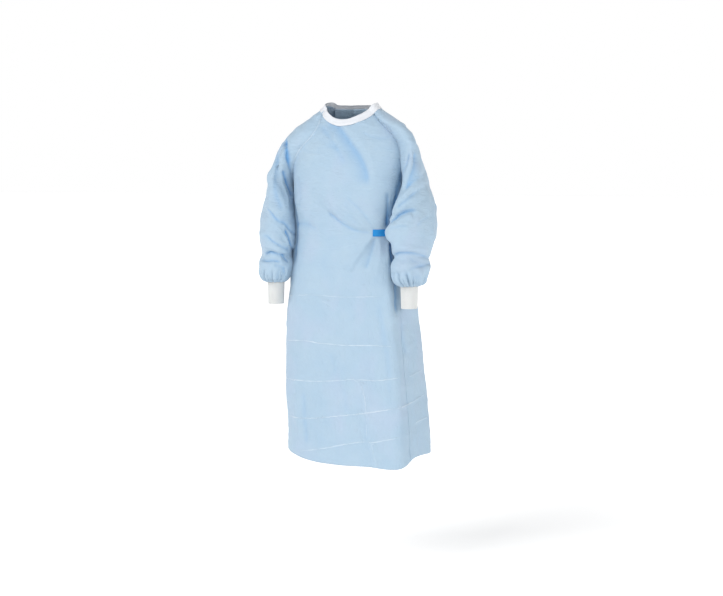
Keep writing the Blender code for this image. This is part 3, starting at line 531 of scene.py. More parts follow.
# Creases of the sides that the photograph doesn't show, as angle round the body and height
BACK_CREASES = creases(
    (0.005, 0.0016, 0.2, 0.9, 0.6,
     (118, -0.706), (138, -0.712), (160, -0.707), (200, -0.716), (240, -0.704), (268, -0.690)),
    (0.005, 0.0017, 0.2, 0.9, 0.6,
     (108, -0.806), (124, -0.816), (150, -0.820), (190, -0.830), (236, -0.818), (268, -0.806)),
    (0.005, 0.0016, 0.2, 0.9, 0.6,
     (108, -0.884), (126, -0.900), (150, -0.918), (176, -0.930), (214, -0.918), (268, -0.918)),
    (0.005, 0.0014, 0.2, 0.9, 0.5,
     (110, -0.952), (126, -0.976), (146, -1.000), (168, -1.016), (220, -1.002), (264, -1.010)),
    (0.006, 0.0020, 0.0, 0.8, 0.5,
     (182, -0.180), (180, -0.300), (181, -0.420), (179, -0.560), (181, -0.700)),
    (0.006, -0.0018, 0.0, 0.7, 0.3, (181, -0.700), (183, -0.820), (180, -0.930)),
    (0.016, -0.0060, 0.2, 0.3, 0.0, (224, -0.130), (206, -0.240), (190, -0.330), (160, -0.372)),
    (0.014, 0.0050, 0.0, 0.3, 0.0, (236, -0.190), (216, -0.290), (190, -0.370), (140, -0.392)),
    (0.012, -0.0046, 0.0, 0.3, 0.0, (196, -0.090), (176, -0.190), (150, -0.290), (112, -0.366)),
    (0.010, 0.0036, 0.0, 0.3, 0.0, (170, -0.230), (146, -0.320), (108, -0.372)),
    (0.010, -0.0034, 0.0, 0.4, 0.0, (150, -0.400), (124, -0.388), (102, -0.380)),
    (0.010, 0.0034, 0.0, 0.4, 0.0, (148, -0.450), (124, -0.408), (102, -0.384)),
    (0.010, -0.0036, 0.0, 0.3, 0.0, (134, -0.500), (116, -0.430), (102, -0.390)),
    (0.012, 0.0040, 0.0, 0.3, 0.0, (112, -0.560), (106, -0.470), (100, -0.394)),
    (0.010, -0.0034, 0.0, 0.3, 0.0, (96, -0.520), (96, -0.450), (96, -0.392)),
    (0.011, 0.0030, 0.0, 0.3, 0.0, (250, -0.300), (232, -0.350), (206, -0.392), (176, -0.402)),
    (0.006, -0.0014, 0.0, 0.5, 0.1, (150, -0.060), (176, -0.066), (206, -0.060)),
    (0.006, 0.0014, 0.0, 0.5, 0.1, (158, -0.120), (186, -0.130), (214, -0.120)),
    (0.008, 0.0016, 0.0, 0.5, 0.1, (262, -0.560), (236, -0.580), (208, -0.574)),
    (0.008, -0.0014, 0.0, 0.5, 0.1, (120, -0.610), (146, -0.620), (170, -0.612)),
)
# The gathered side between the front's corner and the wing's free edge, as the close-up of the tie shows it
TIE_SIDE_CREASES = creases(
    (0.006, -0.0064, 0.6, 0.6, 0.0, (59, -0.250), (60, -0.300), (61, -0.345), (62, -0.362)),
    (0.006, 0.0054, -0.5, 0.6, 0.0, (66, -0.250), (64, -0.300), (63, -0.362)),
    (0.006, -0.0062, 0.6, 0.6, 0.0, (72, -0.256), (69, -0.306), (65, -0.362)),
    (0.005, 0.0046, -0.5, 0.6, 0.0, (77, -0.270), (73, -0.316), (67, -0.362)),
    (0.006, 0.0054, -0.5, 0.6, 0.0, (57, -0.470), (60, -0.430), (63, -0.390)),
    (0.006, -0.0056, 0.6, 0.6, 0.0, (61, -0.500), (63, -0.440), (65, -0.390)),
    (0.007, 0.0046, -0.5, 0.6, 0.0, (66, -0.520), (67, -0.450), (67, -0.392)),
)
# Sleeve backs and inner sides: share down the sleeve (0 neck, 1 armpit, 2 end) and place round it (0 to 1)
SLEEVE_BACK_CREASES = creases(
    (0.010, -0.0065, 0.2, 0.4, 0.0, (0.52, 0.80), (0.80, 0.72), (1.10, 0.66), (1.26, 0.62)),
    (0.010, 0.0045, 0.0, 0.3, 0.0, (0.60, 0.88), (0.92, 0.80), (1.22, 0.72)),
    (0.009, -0.0055, 0.0, 0.4, 0.0, (1.02, 0.90), (1.22, 0.82), (1.40, 0.70)),
    (0.009, 0.0040, 0.0, 0.3, 0.0, (1.20, 0.94), (1.36, 0.84), (1.48, 0.72)),
    (0.007, -0.0060, 0.0, 0.5, 0.0, (1.40, 0.95), (1.52, 0.86), (1.58, 0.74), (1.56, 0.62)),
    (0.007, 0.0042, 0.0, 0.4, 0.0, (1.56, 0.94), (1.64, 0.82), (1.66, 0.66)),
    (0.005, -0.0085, 0.0, 0.6, 0.0, (1.70, 0.98), (1.72, 0.86), (1.71, 0.74), (1.73, 0.62)),
    (0.005, -0.0060, 0.0, 0.6, 0.0, (1.79, 0.92), (1.81, 0.80), (1.79, 0.68)),
    (0.006, 0.0030, 0.0, 0.4, 0.0, (1.30, 0.58), (1.44, 0.56), (1.56, 0.58)),
    (0.008, -0.0034, 0.0, 0.3, 0.0, (0.30, 0.62), (0.54, 0.60), (0.80, 0.58), (1.00, 0.60)),
)
# Pressed lines are drawn in the finish from their distance, as a share of this reach
LINE_REACH = 0.020
# The step along a crease's path, and the length that a degree counts as on a path round the body
PATH_STEP = 0.006
DEGREE_LENGTH = 0.003
# The small uneven waves all over the cloth, the same ones on each side of a seam
CRUMPLE = 0.0017
SLEEVE_CRUMPLE = 2.1
# Their layers: stretch of the cloth's place, size, seed and strength
CRUMPLE_SLANT = ((0.9, 0.0, 0.5), (0.0, 0.9, 0.3), (-0.5, -0.3, 1.4))
CRUMPLE_WAVES = ((np.diag((1.0, 1.0, 0.8)), 0.085, 3, 1.0), (np.diag((1.0, 1.0, 1.6)), 0.036, 4, 0.42))
CRUMPLE_FOLDS = ((np.diag((0.8, 0.8, 1.3)), 0.060, 5, 1.5), (np.array(CRUMPLE_SLANT), 0.040, 7, 0.9))
CRUMPLE_FINE = (np.diag((0.7, 0.7, 1.9)), 0.021, 6, 0.30)
# Depth at which a fold's hollow has the full painted fold shade: a deep blue that paints both its shade and
# the light that passes through the cloth there
PAINTED_FOLD_SHADE_DEPTH = 0.0095
# Folds that cross get no deeper than this
FOLD_LIMIT = 0.0125
# How fast a crease's sharp part falls off, how steeply its ends rise, for a soft one and a whitened one, the
# whitening from which it counts as such, and the sharpness from which the finish draws it too
SHARP_FALL = 1.7
CREASE_HOLD = 7.0
PRESSED_HOLD = 40.0
PRESSED_FROM = 0.55
DRAWN_FROM = 0.35


def ease(t):
    t = np.clip(t, 0.0, 1.0)
    return t * t * (3 - 2 * t)


def turn_between(a, b):
    return (a - b + 180.0) % 360.0 - 180.0


def unit(vectors):
    vectors = np.asarray(vectors, float)
    return vectors / np.maximum(np.linalg.norm(vectors, axis=-1, keepdims=True), 1e-9)


def steps_between(points, axis=0):
    return np.linalg.norm(np.diff(points, axis=axis), axis=-1)


def walked(points, axis=0):
    """The distance along an axis of points from the first of them to each."""
    steps = steps_between(points, axis)
    return np.concatenate([np.zeros_like(steps.take([0], axis)), np.cumsum(steps, axis=axis)], axis=axis)


def line_places(here, start, step):
    """Each point's share of the way along a straight line, and its distance from it."""
    along = (here - start) @ step / (step @ step)
    return along, np.linalg.norm(here - start - np.clip(along, 0, 1)[..., None] * step, axis=-1)


def new_object(name, data):
    item = bpy.data.objects.new(name, data)
    bpy.context.scene.collection.objects.link(item)
    return item


def smooth_path(points, step=PATH_STEP):
    """Points about a step apart on a smooth curve through a few."""
    points = np.asarray(points, float)
    at = walked(points)
    names = " ".join(["at"] + [f"p{i}" for i in range(points.shape[1])])
    table = Table(names, *np.column_stack([at, points]))
    steps = max(2, int(math.ceil(at[-1] / step)))
    where = np.linspace(0.0, at[-1], steps + 1)
    return np.column_stack([table.read(f"p{i}", where) for i in range(points.shape[1])])


# The body's form


def body_at(angle, z, out=0.0):
    """Points of the smooth body at polar angles from the front, in degrees, and heights."""
    a = np.radians(angle)
    depth = np.where(np.cos(a) > 0, BODY.read("front", z), BODY.read("back", z))
    power = BODY.read("squareness", z)
    across = np.abs(np.sin(a)) / BODY.read("half_width", z)
    along = np.abs(np.cos(a)) / depth
    radius = (across**power + along**power) ** (-1 / power) + out
    x = BODY.read("shift", z) + radius * np.sin(a)
    return np.stack([x, -radius * np.cos(a), z + 0.0 * a], axis=-1)


def skirt_folds(angle, z):
    height = 0.0 * angle
    for angle_top, angle_hem, z_start, z_full, half_width, size in SKIRT_FOLDS:
        down = np.clip((z_start - z) / (z_start - HEM_Z), 0.0, 1.0)
        off = turn_between(angle, angle_top + (angle_hem - angle_top) * down) / half_width
        height = height + size * ease((z_start - z) / (z_start - z_full)) * np.exp(-off * off)
    return height


def pull_folds(angle, z):
    here = body_at(angle, z)
    height = 0.0 * angle
    for angle_a, z_a, angle_b, z_b, half_width, size in PULLS:
        start = body_at(np.array(angle_a), np.array(z_a))
        step = body_at(np.array(angle_b), np.array(z_b)) - start
        along, off = line_places(here, start, step)
        height = height + size * np.exp(-((off / half_width) ** 2)) * ease(along * 4) * ease((1 - along) * 6)
    return np.where(np.abs(turn_between(angle, 0.0)) > 75, 0.0, height)


def side_ease(angle, z):
    """The loose cloth of the right side at the waist, where it meets the sleeve."""
    off = turn_between(angle, EASE_ANGLE) / EASE_TURN
    return EASE_HEIGHT * np.exp(-off * off - ((z - EASE_Z) / EASE_REACH) ** 2)


def body_point(angle, z, out=0.0):
    angle = np.asarray(angle, float)
    z = np.asarray(z, float)
    return body_at(angle, z, out + skirt_folds(angle, z) + pull_folds(angle, z) + side_ease(angle, z))


def waist_radius():
    """Distance of the tie's knot from the origin's upright line."""
    return float(np.linalg.norm(body_point(TIE_KNOT_ANGLE, TIE_Z)[:2]))


def body_normal(angle, z, step=1.0, rise=0.004):
    along = body_point(angle + step, z) - body_point(angle - step, z)
    return unit(np.cross(along, body_point(angle, z + rise) - body_point(angle, z - rise)))


def hem_height(angle):
    return HEM.read("z", (angle + 90.0) % 360.0 - 90.0)


def grid_normals(grid):
    across = np.gradient(grid, axis=1)
    down = np.gradient(grid, axis=0)
    return unit(np.cross(down, across))


# Panels


def seam_rows(side, face):
    """Angle and height of each row's end at a side, from the neck along the raglan, then down the side."""
    sign = 1.0 if side == "left" else -1.0
    share = np.linspace(0, 1, RAGLAN_ROWS + 1)
    angles = sign * RAGLAN[side].read(face + "_angle", share)
    heights = RAGLAN[side].read(face + "_z", share)
    down = np.arange(1, SKIRT_ROWS + 1) / SKIRT_ROWS
    side_angle = np.full(SKIRT_ROWS, sign * 90.0)
    side_z = ARMPIT_Z + (hem_height(side_angle) - ARMPIT_Z) * down
    return np.concatenate([angles, side_angle]), np.concatenate([heights, side_z])


def panel_grid(first_edge, last_edge, columns, dip=0.0, out=None):
    """Points of the body's surface between two edges, moved out where out says so."""
    u = np.linspace(0, 1, columns + 1)[None, :]
    angle = first_edge[0][:, None] * (1 - u) + last_edge[0][:, None] * u
    z = first_edge[1][:, None] * (1 - u) + last_edge[1][:, None] * u
    share = np.arange(RAGLAN_ROWS + SKIRT_ROWS + 1)[:, None] / RAGLAN_ROWS
    z = z - (1 - ease(share)) * dip * np.sin(np.pi * u)
    down = (share - 1) * RAGLAN_ROWS / SKIRT_ROWS
    z = np.where(share > 1, ARMPIT_Z + (hem_height(angle) - ARMPIT_Z) * down, z)
    return body_point(angle, z, out(angle, z) if out else 0.0)


def pull_in(grid, first=True, last=True):
    """Draws a grid's first or last column in from the seam."""
    for edge, next_to, drawn in ((0, 1, first), (-1, -2, last)):
        if drawn:
            grid[:, edge] = grid[:, edge] + unit(grid[:, next_to] - grid[:, edge]) * SEAM_INSET
    return grid


def front_panel():
    edges = seam_rows("right", "front"), seam_rows("left", "front")
    return pull_in(panel_grid(*edges, FRONT_COLUMNS, NECK_DIP))


def inner_wing():
    angle, z = seam_rows("left", "back")
    free = (WING_EDGES.read("inner", z), z)
    return pull_in(panel_grid((angle, z), free, INNER_COLUMNS), last=False)


def outer_lift(angle, z):
    """How far the outer wing lies over the body's surface."""
    seam_angle, seam_z = seam_rows("right", "back")
    seam = np.interp(-z, -seam_z, 360.0 + seam_angle)
    full = (PART_WALL + LAYER_GAP) * ease((seam - angle - OVERLAP_START) / OVERLAP_RAMP)
    settled = 1 - ease((angle - WING_EDGES.read("outer", z)) / EDGE_SETTLE)
    return full + (EDGE_LIFT - full) * settled * ease((ARMPIT_Z - z) / EDGE_SETTLE_HEIGHT)


def outer_wing():
    angle, z = seam_rows("right", "back")
    free = (WING_EDGES.read("outer", z), z)
    return pull_in(panel_grid(free, (360.0 + angle, z), OUTER_COLUMNS, out=outer_lift), first=False)


# Sleeves


def loop_points(middle, thick, depth, start, columns):
    """Points of a sleeve loop, from the front edge over the outside to the back edge."""
    a = np.linspace(start, 2 * math.pi - start, columns + 1)[:, None]
    return middle + thick * np.cos(a) + depth * np.sin(a)


def arm_loop(z):
    """A level loop of the sleeve below the armpit."""
    read = {name: float(ARM.read(name, z)) for name in ARM.names}
    turn = math.radians(read["turn"])
    inward = np.array([-math.cos(turn), math.sin(turn), 0.0]) * read["half_thick"]
    forward = np.array([-math.sin(turn), -math.cos(turn), 0.0]) * read["half_depth"]
    return loop_points(np.array([read["x"], read["y"], z]), inward, forward, 0.0, SLEEVE_COLUMNS)


def sleeve_loops(side):
    """Loops down a sleeve, made on the wearer's left."""
    sign = 1.0 if side == "left" else -1.0
    away = np.array([sign, 1.0, 1.0])
    loops = []
    for share in np.linspace(0, 1, RAGLAN_ROWS + 1):
        read = {name: float(RAGLAN[side].read(name, share)) for name in RAGLAN[side].names}
        front = body_point(sign * read["front_angle"], read["front_z"]) * away
        back = body_point(sign * read["back_angle"], read["back_z"]) * away
        top = np.array([float(RIDGE.read(name, share)) for name in "xyz"])
        half = np.linalg.norm(front - back) / 2
        reach = max(float(RIDGE.read("half_depth", share)), half * 1.0005)
        start = math.asin(min(half / reach, 1.0))
        across = unit(front - back) if half > 1e-4 else np.array([0.0, -1.0, 0.0])
        thick = ((front + back) / 2 - top) / (1 + math.cos(start))
        loops.append(loop_points(top + thick, thick, across * reach, start, SLEEVE_COLUMNS))
    step = loops[-1] - arm_loop(ARMPIT_Z)
    for z in np.linspace(ARMPIT_Z, SLEEVE_END_Z, SLEEVE_ROWS + 1)[1:]:
        loops.append(arm_loop(z) + step * (1 - float(ease((ARMPIT_Z - z) / ARMPIT_BLEND))))
    return np.array(loops)


def places_round(grid):
    """Each point's share of the way round a sleeve or a cuff."""
    return np.linspace(0, 1, grid.shape[1])[None, :] + 0 * grid[..., 2]


def sleeve_folds(grid, side):
    """The sleeve's large folds, as its solid has them."""
    place = places_round(grid)
    here = np.stack([grid[..., 2], place * SLEEVE_GIRTH], axis=-1)
    height = 0 * place
    for z_a, round_a, z_b, round_b, half_width, size in SLEEVE_FOLDS[side]:
        start = np.array([z_a, round_a * SLEEVE_GIRTH])
        step = np.array([z_b, round_b * SLEEVE_GIRTH]) - start
        along, off = line_places(here, start, step)
        held = ease(along * 4 + 0.4) * ease((1 - along) * 4 + 0.4)
        height += size * np.exp(-((off / half_width) ** 2)) * held
    return height * sleeve_edge_fade(place, FOLD_FADE)


def sleeve_edge_fade(place, steepness):
    """0 along the raglan seams, 1 on the rest of the sleeve."""
    rows = np.arange(place.shape[0])[:, None] / RAGLAN_ROWS
    fade = ease(np.minimum(place, 1 - place) * steepness)
    return 1 - (1 - fade) * (1 - ease((rows - 1) * 5))


def sleeve_gathers(grid):
    """Uneven gathers where the sleeve's end is drawn in over the cuff."""
    place = places_round(grid)
    z = grid[..., 2]
    height = 0 * place
    for count, phase, top, size in SLEEVE_GATHERS:
        wave = np.sin(2 * math.pi * count * place + phase + 0.7 * np.sin(2 * math.pi * 3 * place))
        height += size * wave * ease((top - z) / GATHER_RISE) * ease((z - SLEEVE_END_Z + 0.004) / GATHER_FALL)
    return height


def sleeve_grid(side):
    grid = sleeve_loops(side)
    height = sleeve_folds(grid, side) + sleeve_gathers(grid)
    grid = grid + grid_normals(grid) * height[..., None]
    pull_in(grid[:RAGLAN_ROWS])
    grid[RAGLAN_ROWS:, -1] = grid[RAGLAN_ROWS:, 0]
    return grid if side == "left" else mirrored(grid)


def mirrored(grid):
    """A grid made on the wearer's left, on the right, with its faces still pointing out."""
    return (grid * MIRROR)[:, ::-1]


# Where the photograph's pixels lie on the cloth


def camera_frame():
    """The eye, and its directions to the back, right and up."""
    turn = math.radians(VIEW_TURN)
    away = np.array([math.sin(turn), -math.cos(turn), 0.0])
    eye = away * VIEW_DISTANCE + np.array([0.0, 0.0, VIEW_HEIGHT])
    right = np.array([math.cos(turn), math.sin(turn), 0.0])
    pitch = math.atan2(VIEW_DROP, VIEW_DISTANCE)
    yaw = math.atan2(VIEW_SIDE_PIXELS, FOCAL_PIXELS)
    back = away * math.cos(pitch) + np.array([0.0, 0.0, math.sin(pitch)])
    up = np.cross(back, right)
    return eye, back * math.cos(yaw) - right * math.sin(yaw), right * math.cos(yaw) + back * math.sin(yaw), up


def pixel_ray(x, y):
    eye, back, right, up = camera_frame()
    aim = right * (x - PHOTO_WIDTH / 2) - up * (y - PHOTO_HEIGHT / 2) - back * FOCAL_PIXELS
    return eye, unit(aim)


def quads_of(index):
    """The four corners of every quad of a grid of point numbers."""
    return np.stack([index[:-1, :-1], index[1:, :-1], index[1:, 1:], index[:-1, 1:]], axis=-1).reshape(-1, 4)


def grid_tree(*grids):
    points, faces = [], []
    for grid in grids:
        rows, columns = grid.shape[:2]
        index = np.arange(rows * columns).reshape(rows, columns) + len(points)
        points += [tuple(p) for p in grid.reshape(-1, 3)]
        faces += quads_of(index).tolist()
    return BVHTree.FromPolygons(points, faces)


def seen_point(tree, x, y):
    """The point of a piece at a pixel, or the piece's nearest point to the ray past its outline."""
    eye, aim = pixel_ray(x, y)
    hit = tree.ray_cast(Vector(eye), Vector(aim))[0]
    if hit is not None:
        return np.array(hit)
    found = [tree.find_nearest(Vector(eye + aim * reach)) for reach in np.linspace(*GOWN_REACH, 60)]
    return np.array(min(found, key=lambda item: item[3])[0])


def seen_paths(tree, creases):
    """Paths from pixels of the photograph."""
    found = []
    for crease in creases:
        found.append((crease, smooth_path([seen_point(tree, *pixel) for pixel in crease.points])))
    return found


def round_paths(creases):
    """Paths from angles and heights on the body."""
    found = []
    for crease in creases:
        line = smooth_path(np.array(crease.points) * [DEGREE_LENGTH, 1.0]) / [DEGREE_LENGTH, 1.0]
        found.append((crease, body_point(line[:, 0], line[:, 1])))
    return found


def sleeve_paths(grid, creases, flip):
    """Paths from shares down a sleeve and places round it."""
    found = []
    lengths = [SLEEVE_LENGTH, SLEEVE_GIRTH]
    for crease in creases:
        share, place = (smooth_path(np.array(crease.points) * lengths) / lengths).T
        down = np.where(share < 1, share * RAGLAN_ROWS, RAGLAN_ROWS + (share - 1) * SLEEVE_ROWS)
        place = 1 - place if flip else place
        rows = np.clip(np.round(down).astype(int), 0, len(grid) - 1)
        columns = np.clip(np.round(place * SLEEVE_COLUMNS).astype(int), 0, SLEEVE_COLUMNS)
        found.append((crease, grid[rows, columns]))
    return found


# Creases


def path_offsets(points, normals, path):
    """Distance of each point to a path, which side it is on and the share of the way along."""
    best = np.full(len(points), np.inf)
    side = np.zeros(len(points))
    share = np.zeros(len(points))
    lengths, before = steps_between(path), walked(path)
    for i, start in enumerate(path[:-1]):
        step = path[i + 1] - start
        if lengths[i] < 1e-6:
            continue
        along = np.clip((points - start) @ step / (step @ step), 0, 1)
        away = points - start - along[:, None] * step
        distance = np.linalg.norm(away, axis=1)
        closer = distance < best
        best = np.where(closer, distance, best)
        turned = np.sum(np.cross(step, away) * normals, axis=1) / lengths[i]
        side = np.where(closer, -turned / np.maximum(distance, 1e-6), side)
        share = np.where(closer, (before[i] + along * lengths[i]) / before[-1], share)
    return best, side, share


def laid_paths(tree, paths, reach=0.012):
    """The stretches of each path that run over a piece, moved onto it."""
    found = []
    for crease, path in paths:
        near = [tree.find_nearest(Vector(point)) for point in path]
        stretch = []
        for hit in near + [(None, None, None, None)]:
            if hit[0] is not None and hit[3] < reach:
                stretch.append(np.array(hit[0]))
                continue
            if len(stretch) > 2:
                found.append((crease, np.array(stretch)))
            stretch = []
    return found


def add_creases(grid, paths, fade=1.0):
    """The grid moved along its normals by the creases, the lines' pressing, whitening and distance, and the
    painted shade of the fold hollows.
    """
    normals = grid_normals(grid)
    flat, flat_normals = grid.reshape(-1, 3), normals.reshape(-1, 3)
    height = np.zeros(len(flat))
    press = np.zeros(len(flat))
    white = np.zeros(len(flat))
    line = np.ones(len(flat))
    for crease, path in paths:
        reach = max(crease.width * 4, LINE_REACH)
        near = np.all((flat > path.min(axis=0) - reach) & (flat < path.max(axis=0) + reach), axis=1)
        if not near.any():
            continue
        distance, side, share = path_offsets(flat[near], flat_normals[near], path)
        scaled = distance / (crease.width * (1 + crease.lean * side))
        soft = np.exp(-(scaled**2))
        sharp = np.exp(-SHARP_FALL * scaled)
        hold = PRESSED_HOLD if crease.white > PRESSED_FROM else CREASE_HOLD
        ends = ease(share * hold + 0.1) * ease((1 - share) * hold + 0.1)
        height[near] += crease.height * (soft * (1 - crease.sharp) + sharp * crease.sharp) * ends
        if crease.sharp > DRAWN_FROM:
            signed = np.clip(distance * np.where(side < 0, -1.0, 1.0) / LINE_REACH, -1, 1)
            closer = np.abs(signed) < np.abs(line[near])
            strength = np.sign(crease.height) * crease.sharp * min(crease.white, 0.5)
            line[near] = np.where(closer, signed, line[near])
            held = ends * ease((1 - np.abs(signed)) * 1.6)
            press[near] = np.where(closer, held * strength, press[near])
            white[near] = np.where(closer, held * crease.white, white[near])
    height = FOLD_LIMIT * np.tanh(height / FOLD_LIMIT).reshape(grid.shape[:2]) * fade
    press = press.reshape(grid.shape[:2]) * fade
    # Painted shade: the deeper a fold's hollow, the more its colour turns to the deep blue of shade
    painted_fold_shade = np.clip(-height / PAINTED_FOLD_SHADE_DEPTH, 0, 1) ** 1.4
    marks = {"press": press, "white": white, "line": line, "painted_fold_shade": painted_fold_shade}
    return grid + normals * height[..., None], marks


def soft_noise(points, size, seed):
    """Smooth noise from -1 to 1 that repeats only far away."""
    table = np.random.default_rng(seed).uniform(-1, 1, (32, 32, 32))
    at = np.asarray(points) / size
    low = np.floor(at).astype(int)
    t = at - low
    t = t * t * (3 - 2 * t)
    total = 0.0
    for corner in np.ndindex(2, 2, 2):
        weight = np.prod(np.where(corner, t, 1 - t), axis=-1)
        i, j, k = np.moveaxis((low + corner) % 32, -1, 0)
        total = total + weight * table[i, j, k]
    return total


def folded_noise(grid, stretch, size, seed, strength):
    """Noise with faint sharp lines where it turns."""
    return (0.5 - np.abs(soft_noise(grid @ stretch, size, seed))) * strength


def crumple(grid, fold=1.0):
    """Small uneven waves and faint sharp lines all over the cloth."""
    height = 0.0
    for stretch, size, seed, strength in CRUMPLE_WAVES:
        height = height + soft_noise(grid @ stretch, size, seed) * strength
    for layer in CRUMPLE_FOLDS:
        height = height + folded_noise(grid, *layer) * fold
    height = height + folded_noise(grid, *CRUMPLE_FINE)
    return grid + grid_normals(grid) * (height * CRUMPLE)[..., None]


def lapped(neighbour, row_from, row_to, at_start, lift):
    """Points that carry a panel's edge over or under its neighbour's first or last columns, row by row."""
    normals = grid_normals(neighbour)
    order = slice(None) if at_start else slice(None, None, -1)
    line, out = neighbour[row_from:row_to, order], normals[row_from:row_to, order]
    near = line[:, :LAP_COLUMNS]
    at = walked(near, 1)
    found = []
    for step in LAP_STEPS:
        points = [[np.interp(step, at[i], row[:, k]) for k in range(3)] for i, row in enumerate(near)]
        found.append(np.array(points) + out[:, 1] * lift)
    return np.stack(found, axis=1)


# Meshes


def grid_uv(grid):
    """Lengths across and down the cloth, in metres."""
    u = walked(grid, 1)
    return np.stack([u - u.mean(axis=1, keepdims=True), -walked(grid)], axis=-1)


def grid_mesh(name, grid, marks=None, wrap_from=None):
    """A quad mesh over a grid, with its UV map in metres. From row wrap_from on, its two sides are one."""
    rows, columns = grid.shape[:2]
    places = np.arange(rows * columns).reshape(rows, columns)
    index = places.copy()
    if wrap_from is not None:
        index[wrap_from:, -1] = index[wrap_from:, 0]
    corners = quads_of(places).reshape(-1)
    used, packed = np.unique(quads_of(index), return_inverse=True)
    mesh = bpy.data.meshes.new(name)
    mesh.from_pydata(grid.reshape(-1, 3)[used].tolist(), [], packed.reshape(-1, 4).tolist())
    layer = mesh.uv_layers.new(name="cloth")
    layer.data.foreach_set("uv", grid_uv(grid).reshape(-1, 2)[corners].astype(np.float32).ravel())
    for key, values in (marks or {}).items():
        mark = mesh.attributes.new(key, "FLOAT", "POINT")
        mark.data.foreach_set("value", values.reshape(-1)[used].astype(np.float32))
    mesh.shade_smooth()
    mesh.update()
    return mesh


def plain_mesh(name, item):
    """The object's evaluated mesh in a new object, and the old object removed."""
    bpy.context.view_layer.update()
    graph = bpy.context.evaluated_depsgraph_get()
    mesh = bpy.data.meshes.new_from_object(item.evaluated_get(graph), depsgraph=graph)
    bpy.data.objects.remove(item, do_unlink=True)
    mesh.name = name
    return new_object(name, mesh)


def add_wall(item, thickness, offset=-1.0):
    solid = item.modifiers.new("wall", "SOLIDIFY")
    solid.thickness = thickness
    solid.offset = offset


def cloth_piece(name, grid, finish, wall, marks=None, wrap_from=None, offset=-1.0):
    """A thin closed shell whose outer face is the grid."""
    item = new_object(name + "_sheet", grid_mesh(name, grid, marks, wrap_from))
    add_wall(item, wall, offset)
    piece = plain_mesh(name, item)
    piece.data.materials.clear()
    piece.data.materials.append(finish)
    piece.data.shade_smooth()
    return piece


# Materials


class Wire:
    """A socket in a material. Operators on it add Math nodes."""

    def __init__(self, tree, socket):
        self.tree = tree
        self.socket = socket

    def math(self, operation, *values):
        node = self.tree.nodes.new("ShaderNodeMath")
        node.operation = operation
        for place, value in zip(node.inputs, values):
            if isinstance(value, Wire):
                self.tree.links.new(value.socket, place)
            else:
                place.default_value = value
        return Wire(self.tree, node.outputs[0])

    def __add__(self, other):
        return self.math("ADD", self, other)

    def __radd__(self, other):
        return self.math("ADD", other, self)

    def __sub__(self, other):
        return self.math("SUBTRACT", self, other)

    def __rsub__(self, other):
        return self.math("SUBTRACT", other, self)

    def __mul__(self, other):
        return self.math("MULTIPLY", self, other)

    def __rmul__(self, other):
        return self.math("MULTIPLY", other, self)

    def __truediv__(self, other):
        return self.math("DIVIDE", self, other)

    def __pow__(self, other):
        return self.math("POWER", self, other)

    def sine(self):
        return self.math("SINE", self)

    def size(self):
        return self.math("ABSOLUTE", self)

    def clipped(self):
        return self.math("MINIMUM", self.math("MAXIMUM", self, 0.0), 1.0)


class Nodes:
    """A node tree of any kind, with one way to add a node to it."""

    def __init__(self, tree):
        self.tree = tree

    def fill(self, place, value):
        if isinstance(value, Wire):
            self.tree.links.new(value.socket, place)
        else:
            place.default_value = value

    def node(self, kind, settings=None, output=0, **values):
        """A node's output. Its settings go first, then its sockets by name, or as i and their number."""
        node = self.tree.nodes.new(kind)
        for key, value in (settings or {}).items():
            setattr(node, key, value)
        for key, value in values.items():
            numbered = key[0] == "i" and key[1:].isdigit()
            self.fill(node.inputs[int(key[1:]) if numbered else key.replace("_", " ")], value)
        return Wire(self.tree, node.outputs[output])


class Finish(Nodes):
    """One material, built from its nodes."""

    def __init__(self, name):
        self.material = bpy.data.materials.new(name)
        self.material.use_nodes = True
        super().__init__(self.material.node_tree)
        self.shader = self.tree.nodes["Principled BSDF"]

    def set(self, **values):
        for key, value in values.items():
            self.fill(self.shader.inputs[key.replace("_", " ")], value)

    def mix(self, share, first, second):
        """A colour between two."""
        return self.node("ShaderNodeMix", {"data_type": "RGBA"}, output=2, i0=share, i6=first, i7=second)

    def noise(self, place, scale, detail=2.0, roughness=0.5):
        return self.node("ShaderNodeTexNoise", Vector=place, Scale=scale, Detail=detail, Roughness=roughness)

    def stretched(self, place, scale):
        return self.node("ShaderNodeMapping", Vector=place, Scale=scale)

    def crinkles(self, place, scale):
        """Noise with a sharp line wherever it passes its middle value."""
        noise = self.noise(self.stretched(place, scale), 1.0, 3.0, 0.55)
        return 1.0 - (noise * 2.0 - 1.0).size()

    def bump(self, height, distance, strength, under=None):
        values = {"Height": height, "Distance": distance, "Strength": strength}
        if under is not None:
            values["Normal"] = under
        return self.node("ShaderNodeBump", **values)

    def mark(self, name):
        """A number that each point of the cloth carries."""
        return self.node("ShaderNodeAttribute", {"attribute_name": name}, output=2)

    def cloth_map(self):
        return self.node("ShaderNodeUVMap", {"uv_map": "cloth"})

    def here(self):
        return self.node("ShaderNodeTexCoord", output=3)

    def halves(self, place):
        parts = self.node("ShaderNodeSeparateXYZ", Vector=place)
        return parts, Wire(self.tree, parts.socket.node.outputs[1])


